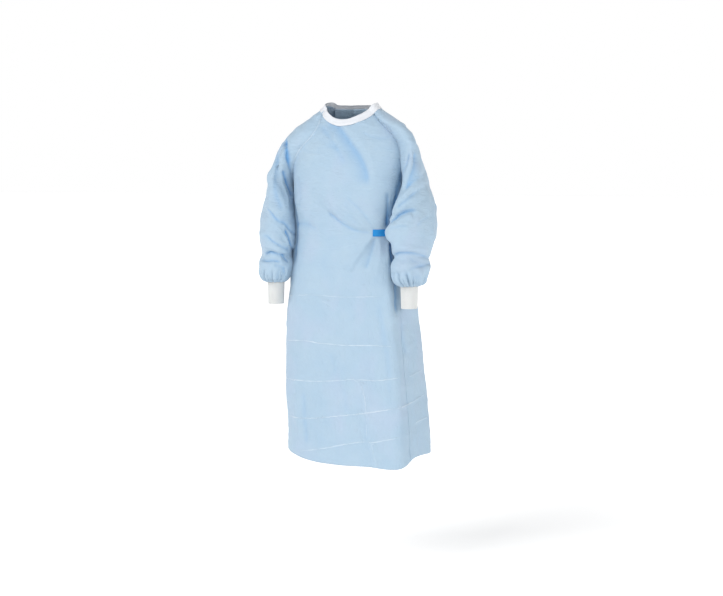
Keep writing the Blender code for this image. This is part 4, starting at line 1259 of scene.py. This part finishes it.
class Shape(Nodes):
    """A Geometry Nodes tree with named inputs for its sizes."""

    def __init__(self, name, **sizes):
        super().__init__(bpy.data.node_groups.new(name, "GeometryNodeTree"))
        face = self.tree.interface
        face.new_socket("Geometry", in_out="INPUT", socket_type="NodeSocketGeometry")
        face.new_socket("Geometry", in_out="OUTPUT", socket_type="NodeSocketGeometry")
        for key in sizes:
            face.new_socket(key, in_out="INPUT", socket_type="NodeSocketFloat")
        face.new_socket("finish", in_out="INPUT", socket_type="NodeSocketMaterial")
        self.sizes = sizes
        self.given = self.tree.nodes.new("NodeGroupInput")

    def input(self, name):
        return Wire(self.tree, self.given.outputs[name])

    def end(self, geometry):
        """Ends the tree: what it made is realized and takes its finish."""
        real = self.node("GeometryNodeRealizeInstances", Geometry=geometry)
        smooth = self.node("GeometryNodeSetShadeSmooth", Geometry=real)
        done = self.node("GeometryNodeSetMaterial", Geometry=smooth, Material=self.input("finish"))
        last = self.tree.nodes.new("NodeGroupOutput")
        self.tree.links.new(done.socket, last.inputs[0])

    def on(self, item, finish):
        """Puts the tree on an object, with its inputs set by their identifiers."""
        modifier = item.modifiers.new(self.tree.name, "NODES")
        modifier.node_group = self.tree
        for socket in self.tree.interface.items_tree:
            if socket.in_out == "INPUT" and socket.name in self.sizes:
                modifier[socket.identifier] = float(self.sizes[socket.name])
            if socket.in_out == "INPUT" and socket.name == "finish":
                modifier[socket.identifier] = finish


# Pitches of the cloth's bond points and of the knit's rows and columns of loops
EMBOSS_PITCH = 0.0014
KNIT_ROW = 0.0011
KNIT_WALE = 0.0016
# How close the finishes' patterns stand: fibres and hairs along the cloth, crinkles and patches in space
FIBRE_SCALE = (900.0, 110.0, 1.0)
HAIR_SCALE = (1400.0, 1400.0, 1.0)
ACROSS_SCALE = (30.0, 30.0, 110.0)
UPRIGHT_SCALE = (120.0, 120.0, 26.0)
PATCH_SCALE = (9.0, 9.0, 5.0)
# The height below which the crinkles turn upright
UPRIGHT_Z = -0.36
# How far from a pressed line its relief and its whitening reach
PRESSED_REACH = 0.0042
WHITENED_REACH = 0.0026
# Colours of the finishes
GOWN_COLOUR = (0.435, 0.555, 0.655, 1.0)
GOWN_DEEP = (0.345, 0.490, 0.635, 1.0)
GOWN_LILAC = (0.470, 0.530, 0.685, 1.0)
# Painted shade of the fold hollows
GOWN_PAINTED_FOLD_SHADE = (0.14, 0.35, 0.64, 1.0)
GOWN_WHITENED = (0.78, 0.85, 0.92, 1.0)
TAPE_COLOUR = (0.016, 0.305, 0.720, 1.0)
TAPE_DEEP = (0.010, 0.225, 0.600, 1.0)
TAPE_WHITENED = (0.10, 0.38, 0.70, 1.0)
BINDING_COLOUR = (0.80, 0.815, 0.84, 1.0)
BINDING_DEEP = (0.70, 0.73, 0.78, 1.0)
KNIT_COLOUR = (0.83, 0.84, 0.83, 1.0)
# Painted shade between the knit's loops
KNIT_PAINTED_GAP_SHADE = (0.60, 0.61, 0.60, 1.0)
KNIT_SHADE = (0.74, 0.77, 0.78, 1.0)
THREAD_BLUE = (0.36, 0.54, 0.74, 1.0)
THREAD_TAPE = (0.015, 0.19, 0.48, 1.0)
THREAD_WHITE = (0.84, 0.85, 0.86, 1.0)


def nonwoven_finish(name, colour, deep, painted_fold_shade, whitened, roughness, streaks, crinkles, lilac=0.0):
    """Spun and pressed cloth: small bond points, fine fibres along the cloth, crinkles, pressed lines and
    painted shade in the fold hollows.
    """
    finish = Finish(name)
    place = finish.cloth_map()
    u, v = finish.halves(place)
    here = finish.here()
    turn = 2 * math.pi / EMBOSS_PITCH
    bonds = (((u + v) * (turn * 0.7)).sine() * ((u - v) * (turn * 0.7)).sine()).size() ** 2.0
    fibres = finish.noise(finish.stretched(place, FIBRE_SCALE), 1.0, 3.0, 0.6)
    cloudy = finish.noise(here, 16.0, 3.0, 0.55)
    height = finish.node("ShaderNodeSeparateXYZ", output=2, Vector=here)
    low = ((height - UPRIGHT_Z) * -5.0).clipped()
    across, upright = finish.crinkles(here, ACROSS_SCALE), finish.crinkles(here, UPRIGHT_SCALE)
    lines = across + (upright - across) * low
    away = finish.mark("line").size() * LINE_REACH
    press = finish.mark("press")
    pressed = ((1.0 - away / PRESSED_REACH).clipped() ** 1.3) * press
    broken = ((finish.noise(here, 34.0, 2.0, 0.5) - 0.36) * 3.0).clipped()
    whiter = (1.0 - away / WHITENED_REACH).clipped() * finish.mark("white") * (broken * 0.65 + fibres * 0.25)
    tone = (cloudy * 0.8 + fibres * streaks - 0.25).clipped()
    base = finish.mix(tone, deep, colour)
    patches = finish.noise(finish.stretched(here, PATCH_SCALE), 1.0, 2.0, 0.6)
    base = finish.mix(((patches - 0.5) * 2.2).clipped() * lilac, base, GOWN_LILAC)
    base = finish.mix((bonds * 0.10).clipped(), base, deep)
    # Painted shade: fold hollows turn to the deep blue of their shade
    base = finish.mix(finish.mark("painted_fold_shade").clipped(), base, painted_fold_shade)
    base = finish.mix(whiter.clipped(), base, whitened)
    relief = finish.bump(lines, 0.0030, crinkles)
    relief = finish.bump(fibres, 0.0003, 0.25, relief)
    relief = finish.bump(bonds, 0.00012, 0.35, relief)
    relief = finish.bump(pressed, 0.0020, 1.0, relief)
    finish.set(Base_Color=base, Roughness=roughness + cloudy * 0.10, Normal=relief)
    finish.set(Sheen_Weight=0.16, Sheen_Roughness=0.4, Specular_IOR_Level=0.35)
    return finish.material


def knit_finish(name):
    """White rib knit: rows of small loops on the ribs, with painted shade in the gaps between the loops."""
    finish = Finish(name)
    place = finish.cloth_map()
    u, v = finish.halves(place)
    loops = ((v * (2 * math.pi / KNIT_ROW)).sine() * 0.5 + 0.5) ** 0.7
    yarns = ((u * (2 * math.pi / KNIT_WALE)).sine() * 0.5 + 0.5) ** 0.6
    hairs = finish.noise(finish.stretched(place, HAIR_SCALE), 1.0, 3.0, 0.6)
    cloudy = finish.noise(finish.here(), 40.0, 2.0)
    # Painted shade: the gaps between the loops are darkened where their relief sinks
    base = finish.mix((loops * yarns).clipped(), KNIT_PAINTED_GAP_SHADE, KNIT_COLOUR)
    base = finish.mix((cloudy * 0.35).clipped(), base, KNIT_SHADE)
    relief = finish.bump(loops * yarns, 0.0005, 0.5)
    relief = finish.bump(hairs, 0.0003, 0.3, relief)
    finish.set(Base_Color=base, Roughness=0.86 + hairs * 0.1, Normal=relief, Sheen_Weight=0.25)
    return finish.material


def thread_finish(name, colour):
    """Sewing thread with its twist."""
    finish = Finish(name)
    twist = finish.noise(finish.here(), 2600.0, 2.0)
    dark = tuple(value * 0.72 for value in colour[:3]) + (1.0,)
    relief = finish.bump(twist, 0.0001, 0.5)
    finish.set(Base_Color=finish.mix(twist, dark, colour), Roughness=0.55 + twist * 0.2, Normal=relief)
    return finish.material


# Stage


def add_camera():
    eye, back, right, up = camera_frame()
    data = bpy.data.cameras.new("camera")
    data.sensor_width = SENSOR
    data.sensor_fit = "HORIZONTAL"
    data.lens = FOCAL_PIXELS * SENSOR / PHOTO_WIDTH
    camera = new_object("camera", data)
    frame_rows = np.array([right, up, back]).T
    camera.matrix_world = Matrix.LocRotScale(Vector(eye), Matrix(frame_rows.tolist()).to_quaternion(), None)
    bpy.context.scene.camera = camera


def add_sun(name, towards, strength, softness):
    data = bpy.data.lights.new(name, "SUN")
    data.energy = strength
    data.angle = math.radians(softness)
    lamp = new_object(name, data)
    lamp.rotation_euler = (-Vector(towards)).to_track_quat("-Z", "Y").to_euler()


def add_floor():
    finish = Finish("floor")
    tone = finish.noise(finish.here(), 3.0, 2.0)
    finish.set(Base_Color=finish.mix(tone, FLOOR_DEEP, FLOOR_COLOUR), Roughness=0.9)
    finish.set(Emission_Color=WHITE, Emission_Strength=FLOOR_GLOW)
    corners = [(x * FLOOR_HALF, y * FLOOR_HALF, FLOOR_Z) for x, y in ((-1, -1), (1, -1), (1, 1), (-1, 1))]
    mesh = bpy.data.meshes.new("floor")
    mesh.from_pydata(corners, [], [(0, 1, 2, 3)])
    mesh.materials.append(finish.material)
    new_object("floor", mesh)


def add_world():
    """A white cove round the horizon under a dimmer ceiling."""
    world = bpy.data.worlds.new("studio")
    world.use_nodes = True
    bpy.context.scene.world = world
    nodes = Nodes(world.node_tree)
    aim = nodes.node("ShaderNodeTexCoord", output=0)
    parts = nodes.node("ShaderNodeSeparateXYZ", Vector=aim)
    height = Wire(nodes.tree, parts.socket.node.outputs[2])
    ceiling = ((height - COVE_TOP) * 4.0).clipped()
    background = world.node_tree.nodes["Background"]
    nodes.fill(background.inputs["Strength"], COVE_LIGHT - ceiling * (COVE_LIGHT - CEILING_LIGHT))
    background.inputs["Color"].default_value = WHITE


def add_studio():
    add_world()
    bpy.context.scene.view_settings.view_transform = "Standard"
    for name, light in LIGHTS.items():
        add_sun(name, *light)
    add_floor()


# Trim


def cuff_grid(side):
    """The knit tube's rings, from inside the sleeve's end to the open wrist."""
    turn = math.radians(ARM.first("turn"))
    rings = []
    for share in np.linspace(0, 1, CUFF_ROWS + 1):
        z = SLEEVE_END_Z + CUFF_TUCK - (CUFF_LENGTH + CUFF_TUCK) * share
        size = 1 + (CUFF_END_SHARE - 1) * float(ease(share)) - CUFF_INSET
        inward = np.array([-math.cos(turn), math.sin(turn), 0.0]) * WRIST_HALF_THICK * size
        forward = np.array([-math.sin(turn), -math.cos(turn), 0.0]) * WRIST_HALF_DEPTH * size
        middle = np.array([ARM.first("x"), ARM.first("y"), z])
        rings.append(loop_points(middle, inward, forward, 0.0, CUFF_COLUMNS))
    grid = np.array(rings)
    return grid if side == "left" else mirrored(grid)


def knit_ribs():
    """Raises ribs along a tube whose points carry their place round it."""
    shape = Shape("knit_ribs", ribs=CUFF_RIBS, height=RIB_HEIGHT, tightness=RIB_TIGHTNESS)
    around = shape.node("GeometryNodeInputNamedAttribute", {"data_type": "FLOAT"}, Name="around")
    wave = (around * shape.input("ribs") * (2 * math.pi)).sine()
    ridge = wave * shape.input("height") * (1.0 - wave * shape.input("tightness"))
    normal = shape.node("GeometryNodeInputNormal")
    offset = shape.node("ShaderNodeVectorMath", {"operation": "SCALE"}, i0=normal, Scale=ridge)
    moved = shape.node("GeometryNodeSetPosition", Geometry=shape.input("Geometry"), Offset=offset)
    shape.end(moved)
    return shape


def knit_cuff(side, shape, finish):
    grid = cuff_grid(side)
    name = side + "_cuff"
    item = new_object(name + "_tube", grid_mesh(name, grid, {"around": places_round(grid)}, 0))
    shape.on(item, finish)
    add_wall(item, KNIT_WALL)
    piece = plain_mesh(name, item)
    place_piece(piece, "knit", "cuff_" + side)
    "sleeve_" + side


def neck_chain(grids):
    """The neck edge's points from the inner wing's end to the outer one's, and the cloth below each."""
    chain, below = [], []
    for grid in grids:
        normals = grid_normals(grid)
        for column in range(grid.shape[1] - 1, -1, -1):
            point = grid[0, column]
            if chain and np.linalg.norm(point - chain[-1]) < BINDING_STEP:
                continue
            chain.append(point)
            line = grid[:12, column]
            at = walked(line)
            below.append([
                [np.interp(down, at, line[:, k]) + normals[2, column, k] * lift for k in range(3)]
                for down, lift in BINDING_SKIRT
            ])
    chain, below = np.array(chain), np.array(below)
    for _ in range(BINDING_SMOOTHINGS):
        chain[2:-2] = sum(chain[i:len(chain) - 4 + i] for i in range(5)) / 5
        below[2:-2] = sum(below[i:len(below) - 4 + i] for i in range(5)) / 5
    return chain, below


def binding_grid(grids):
    """The binding's outer face, from its rolled top down over the panels, its chain and its stitched line."""
    chain, below = neck_chain(grids)
    around = np.gradient(chain, axis=0)
    radial = unit(chain * LEVEL)
    lean = math.radians(BINDING_LEAN)
    up = np.array([0.0, 0.0, math.cos(lean)]) - radial * math.sin(lean)
    up = up - around * (np.sum(up * around, axis=1) / np.sum(around * around, axis=1))[:, None]
    up = unit(up)
    out = unit(np.cross(around, up))
    out = out * np.sign(np.sum(out * radial, axis=1))[:, None]
    rows = [chain + up * (BINDING_WIDTH * along) + out * proud for along, proud in BINDING_SECTION]
    rows += list(np.moveaxis(below, 1, 0))
    grid = np.array(rows)[:, ::-1]
    waves = sum(soft_noise(grid, size, seed) * height for size, seed, height in BINDING_WAVES)
    return grid + grid_normals(grid) * waves[..., None], chain, below[:, -2]


def neck_tab_grid(tree):
    """The closure strip over the outer wing's end and the inner wing, from angles and heights."""
    rows = []
    for z in np.linspace(*TAB_HEIGHTS, 9):
        edge = float(WING_EDGES.read("outer", z)) + 1.5
        line = []
        for angle in np.linspace(*TAB_ANGLES, 41):
            near = ease((angle - edge) / TAB_STEP_TURN + 1) if angle < edge else 0.0
            line.append(laid_point(tree, angle, z, PART_WALL + (PART_WALL + LAYER_GAP) * float(near)))
        rows.append(line)
    return np.array(rows)


# Tie


def laid_point(tree, angle, z, out):
    """The outermost point of the cloth at a polar angle and a height, moved out."""
    angle, z = np.array(float(angle)), np.array(float(z))
    inside, normal = body_at(angle, z), body_normal(angle, z)
    level = unit(normal * LEVEL)
    start = inside + level * 0.05
    hit = tree.ray_cast(Vector(start), Vector(-level), 0.1)[0]
    return None if hit is None else np.array(hit) + normal * out


def knot_frame():
    """The knot's middle and its directions: back along the side, out and down."""
    angle, z = np.array(TIE_KNOT_ANGLE), np.array(TIE_Z)
    out = unit(body_normal(angle, z) * LEVEL)
    down = np.array([0.0, 0.0, -1.0])
    return body_point(angle, z) + out * KNOT_STAND, np.cross(out, down), out, down


def tape_across(name, first, last, point_at, finish):
    """A tape laid across the cloth at the tie's height, with one of its ends drawn in by the knot."""
    rows = []
    for up in np.linspace(1, -1, TAPE_LINES):
        line = []
        for i, angle in enumerate(np.linspace(first, last, TAPE_STEPS + 1)):
            share = i / TAPE_STEPS if last < TIE_KNOT_ANGLE else 1 - i / TAPE_STEPS
            drawn = float(ease((share - 1 + DRAWN_SHARE) / DRAWN_SHARE))
            z = TIE_Z + up * TAPE_WIDTH / 2 * (1 - DRAWN_IN * drawn)
            fold = LAID_GATHER * drawn * math.sin(up * 8.0) + LAID_WAVE * math.sin(up * 3.0 + angle * 0.4)
            line.append(point_at(angle, z, fold))
        rows.append(line)
    grid = np.array(rows)
    piece = place_piece(cloth_piece(name, grid, finish, TAPE_WALL), "tape", TAPE_NODES[name])
    return grid


def loose_tape(node, tree, finish):
    """A free tape of the knot, gathered at its start."""
    table = LOOSE_TAPES[node]
    out = knot_frame()[2]
    radius = waist_radius()
    at = np.linspace(0, table.data[-1, 0], LOOSE_STEPS + 1)
    read = {key: table.read(key, at) for key in ("back", "lift", "down", "half_width")}
    path = []
    for i in range(len(at)):
        angle = TIE_KNOT_ANGLE + math.degrees(read["back"][i] / radius)
        path.append(laid_point(tree, angle, TIE_Z - read["down"][i], 0.0) + out * read["lift"][i])
    path = np.array(path)
    ahead = unit(np.gradient(path, axis=0))
    side = unit(np.cross(out, ahead))
    over = unit(np.cross(ahead, side))
    share = np.linspace(0, 1, LOOSE_STEPS + 1)
    loop = node == "tie_loop"
    reach = 0.55 if node == "tie_end" else 0.30
    gathered = np.exp(-((share / reach) ** 2)) + (np.exp(-(((1 - share) / reach) ** 2)) if loop else 0.0)
    twist = np.radians(LOOSE_TWIST[node]) * ease((share - 0.1) / 0.9)
    rows = []
    for across in np.linspace(1, -1, TAPE_LINES):
        width = read["half_width"] * across
        fold = gathered * TAPE_GATHER * np.sin(across * 7.0 + 0.6)
        fold = fold + TAPE_WAVE * np.sin(across * 2.6 + share * 9.0)
        fold = fold + TAPE_ARCH * np.cos(across * math.pi / 2)
        sideways = width * np.cos(twist) - fold * np.sin(twist)
        proud = width * np.sin(twist) * 0.55 + fold * np.cos(twist)
        rows.append(path + side * sideways[:, None] + over * proud[:, None])
    grid = np.array(rows)
    piece = cloth_piece(LOOSE_PIECES[node], grid, finish, TAPE_WALL, offset=0.0)
    place_piece(piece, "tape", node)
    width = float(read["half_width"].mean() * 2)


def knot_piece(finish):
    """The knot: a gathered core with the tape's turn over it."""
    middle, back, out, down = knot_frame()
    a = np.linspace(0, 2 * math.pi, 49)[None, :]
    b = np.linspace(0.02, math.pi - 0.02, 33)[:, None]
    ring, level = np.sin(b) ** 0.8, np.cos(b)
    lines = 1 + KNOT_GROOVE_DEPTH * np.sin(KNOT_GROOVES * a + 2.0 * level) * np.sin(b)
    off = np.abs(np.cos(a) * ring * 0.9 + level * 0.45)
    turn = KNOT_TURN * ease(1.7 - off / KNOT_TURN_WIDTH) + 0 * b
    size = (KNOT_CORE * lines + turn) * KNOT_FILL
    x = np.cos(a) * ring * size * KNOT_HALF[0]
    y = np.sin(a) * ring * size * KNOT_HALF[1]
    z = (level + 0 * a) * size * KNOT_HALF[2]
    grid = middle + back * x[..., None] + out * y[..., None] + (-down) * z[..., None]
    mesh = grid_mesh("knot", grid, None, 0)
    shell = bmesh.new()
    shell.from_mesh(mesh)
    bmesh.ops.holes_fill(shell, edges=[edge for edge in shell.edges if edge.is_boundary])
    bmesh.ops.recalc_face_normals(shell, faces=shell.faces)
    shell.to_mesh(mesh)
    shell.free()
    mesh.materials.append(finish)
    mesh.shade_smooth()
    place_piece(new_object("knot", mesh), "tape", "tie_knot")


def make_tie(front, outer, finish):
    front_tree, outer_tree, both = grid_tree(front), grid_tree(outer), grid_tree(front, outer)
    radius = waist_radius()
    flat = TAPE_WALL + 0.0003
    half_turn = math.degrees(KNOT_HALF[0] * 0.82 / radius)

    def on_front(angle, z, fold):
        rise = float(ease((angle - TIE_LIFT_ANGLE) / (TIE_KNOT_ANGLE - half_turn - TIE_LIFT_ANGLE)))
        return laid_point(front_tree, angle, z, flat + (TAPE_LIFT - flat) * rise + max(fold, 0.0))

    def on_wing(angle, z, fold):
        near = float(ease((angle - TIE_KNOT_ANGLE - half_turn) / 9.0))
        point = laid_point(outer_tree, angle, z, flat + max(fold, 0.0) + 0.0034 * (1 - near))
        return laid_point(front_tree, angle, z, WING_TAPE_LIFT - 0.002 * near) if point is None else point

    tape = tape_across("front_tape", TIE_FRONT_ANGLE, TIE_KNOT_ANGLE - half_turn, on_front, finish)
    wing = tape_across("wing_tape", TIE_KNOT_ANGLE + half_turn, TIE_WING_ANGLE, on_wing, finish)
    knot_piece(finish)
    for node in LOOSE_TAPES:
        loose_tape(node, both, finish)
    return tape, wing


# Sewing


def stitch_shape(name, spacing, length, thickness):
    """Short thread stitches at equal steps along lines."""
    shape = Shape(name, spacing=spacing, length=length, thickness=thickness)
    line = shape.node("GeometryNodeMeshToCurve", Mesh=shape.input("Geometry"))
    even = {"mode": "LENGTH"}
    line = shape.node("GeometryNodeResampleCurve", even, Curve=line, Length=shape.input("spacing"))
    ball = shape.node("GeometryNodeMeshUVSphere", Segments=6, Rings=4, Radius=0.5)
    thick = shape.input("thickness")
    long = shape.node("ShaderNodeCombineXYZ", X=shape.input("length"), Y=thick, Z=thick)
    stitch = shape.node("GeometryNodeTransform", Geometry=ball, Scale=long)
    tangent = shape.node("GeometryNodeInputTangent")
    turn = shape.node("FunctionNodeAlignRotationToVector", {"axis": "X"}, Vector=tangent)
    rows = shape.node("GeometryNodeInstanceOnPoints", Points=line, Instance=stitch, Rotation=turn)
    shape.end(rows)
    return shape


def sew(name, lines, sizes, finish, slot):
    """One piece that holds the stitches along several lines of points."""
    points, edges = [], []
    for line in lines:
        start = len(points)
        points += [tuple(point) for point in line]
        edges += [(i, i + 1) for i in range(start, len(points) - 1)]
    mesh = bpy.data.meshes.new(name)
    mesh.from_pydata(points, edges, [])
    item = new_object(name + "_lines", mesh)
    stitch_shape(name, *sizes).on(item, finish)
    place_piece(plain_mesh(name, item), slot)


def beside_seam(grid, column, inside):
    """A line on the cloth a set distance inside one of its side edges."""
    order = slice(None) if column == 0 else slice(None, None, -1)
    line, out = grid[:, order], grid_normals(grid)[:, order]
    lengths = walked(line, 1)
    found = []
    for i in range(len(line)):
        at = np.interp(inside, lengths[i], np.arange(line.shape[1]))
        low = min(int(at), line.shape[1] - 2)
        t = at - low
        found.append(line[i, low] * (1 - t) + line[i, low + 1] * t + out[i, low] * SEAM_STITCH_LIFT)
    return np.array(found)


def raised(grid):
    return grid + grid_normals(grid) * HIGH_STITCH_LIFT


def sew_gown(front, outer, inner, sleeves, tape, wing, binding_line):
    blue = thread_finish("thread_blue", THREAD_BLUE)
    lines = [beside_seam(front, column, FRONT_STITCH_INSET) for column in (0, -1)]
    lines += [beside_seam(grid, column, WING_STITCH_INSET) for grid, column in ((inner, 0), (outer, -1))]
    lines += [raised(grid)[-4] for grid in sleeves]
    sew("seam_stitches", lines, SEAM_STITCH, blue, "gown")
    white = thread_finish("thread_white", THREAD_WHITE)
    sew("binding_stitches", [binding_line], BINDING_STITCH, white, "binding")
    dark = thread_finish("thread_tape", THREAD_TAPE)
    tape, wing = raised(tape), raised(wing)
    box = [tape[2, 2:16], tape[-3, 2:16], tape[2:-2, 2], tape[2:-2, 15]]
    box += [wing[2, -16:-2], wing[-3, -16:-2], wing[2:-2, -3], wing[2:-2, -16]]
    sew("tape_stitches", box, TAPE_STITCH, dark, "tape")


# Making the gown


def place_piece(piece, slot, *nodes):
    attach(piece, "root")
    if nodes:
        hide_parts(*nodes)
    return piece


def creased_sleeve(side, creases):
    grid = sleeve_grid(side)
    paths = seen_paths(grid_tree(grid), creases) + sleeve_paths(grid, SLEEVE_BACK_CREASES, side == "right")
    end = ease((SLEEVE_END_Z + 0.016 - grid[..., 2]) / 0.014)
    fade = sleeve_edge_fade(places_round(grid), CREASE_FADE) * (1 - 0.85 * end)
    grid = crumple(grid, 1 + (SLEEVE_CRUMPLE - 1) * fade)
    grid, marks = add_creases(grid, paths, fade)
    grid[RAGLAN_ROWS:, -1] = grid[RAGLAN_ROWS:, 0]
    return grid, marks


def lap_over(grid, marks, neighbours):
    """A panel with its edges carried over its neighbours: side, grid, rows from and to, side there, lift."""
    for at_start in (True, False):
        parts = [part for part in neighbours if part[0] == at_start]
        if not parts:
            continue
        strip = np.concatenate([lapped(*part[1:]) for part in parts])
        grid = np.concatenate([strip[:, ::-1], grid] if at_start else [grid, strip], axis=1)
    sides = [part[0] for part in neighbours]
    pad = ((0, 0), [len(LAP_STEPS) * (at_start in sides) for at_start in (True, False)])
    wide = {}
    for key, values in marks.items():
        flat = values.reshape(len(grid), -1)
        if key in SEAM_MARKS:
            wide[key] = np.pad(flat, pad, constant_values=SEAM_MARKS[key])
        else:
            wide[key] = np.pad(flat, pad, "edge")
    return grid, wide


def make_gown():
    gown_colours = GOWN_COLOUR, GOWN_DEEP, GOWN_PAINTED_FOLD_SHADE, GOWN_WHITENED
    gown = nonwoven_finish("gown", *gown_colours, roughness=0.62, streaks=0.6, crinkles=0.75, lilac=0.7)
    tape_colours = TAPE_COLOUR, TAPE_DEEP, TAPE_DEEP, TAPE_WHITENED
    tape_cloth = nonwoven_finish("tape", *tape_colours, roughness=0.55, streaks=0.6, crinkles=0.2)
    binding_colours = BINDING_COLOUR, BINDING_DEEP, BINDING_DEEP, BINDING_COLOUR
    binding_cloth = nonwoven_finish("binding", *binding_colours, roughness=0.7, streaks=0.5, crinkles=0.2)
    knit = knit_finish("knit")
    front, inner, outer = front_panel(), inner_wing(), outer_wing()
    body = seen_paths(grid_tree(front), FRONT_CREASES + SHADED_CREASES)
    body += seen_paths(grid_tree(outer), SIDE_CREASES)
    body += round_paths(BACK_CREASES + TIE_SIDE_CREASES)

    front, front_marks = add_creases(crumple(front), laid_paths(grid_tree(front), body))
    outer, outer_marks = add_creases(crumple(outer), laid_paths(grid_tree(outer), body))
    inner, inner_marks = add_creases(crumple(inner), laid_paths(grid_tree(inner), body))
    right, right_marks = creased_sleeve("right", RIGHT_SLEEVE_CREASES)
    left, left_marks = creased_sleeve("left", LEFT_SLEEVE_CREASES)
    top, all_rows = RAGLAN_ROWS, len(front)

    wide, marks = lap_over(front, front_marks, (
        (True, right, 0, top, False, LAP_LIFT),
        (True, outer, top, all_rows, False, LAP_LIFT),
        (False, left, 0, top, True, LAP_LIFT),
        (False, inner, top, all_rows, True, LAP_LIFT),
    ))
    piece = place_piece(cloth_piece("front_panel", wide, gown, CLOTH_WALL, marks), "gown", "front")
    wide, marks = lap_over(outer, outer_marks, (
        (False, right, 0, top, True, LAP_LIFT),
        (False, front, top, all_rows, True, -LAP_LIFT),
    ))
    piece = place_piece(cloth_piece("outer_wing", wide, gown, CLOTH_WALL, marks), "gown", "back_wing_outer")
    wide, marks = lap_over(inner, inner_marks, (
        (True, left, 0, top, False, LAP_LIFT),
        (True, front, top, all_rows, False, -LAP_LIFT),
    ))
    piece = place_piece(cloth_piece("inner_wing", wide, gown, CLOTH_WALL, marks), "gown", "back_wing_inner")
    for side, grid, marks in (("right", right, right_marks), ("left", left, left_marks)):
        piece = cloth_piece(side + "_sleeve", grid, gown, CLOTH_WALL, marks, RAGLAN_ROWS)
        place_piece(piece, "gown", "sleeve_" + side)
        "cuff_" + side

    ribs = knit_ribs()
    for side in ("right", "left"):
        knit_cuff(side, ribs, knit)

    grid, chain, lower = binding_grid([inner, left, front, right, outer])
    piece = cloth_piece("neck_band", grid, binding_cloth, BINDING_WALL)
    place_piece(piece, "binding", "neck_binding")
    grid = neck_tab_grid(grid_tree(inner, outer))
    piece = place_piece(cloth_piece("closure_tab", grid, binding_cloth, TAB_WALL), "binding", "neck_tab")

    tape, wing = make_tie(front, outer, tape_cloth)
    sew_gown(front, outer, inner, (right, left), tape, wing, lower)


def main():
    add_camera()
    add_studio()
    make_gown()


main()
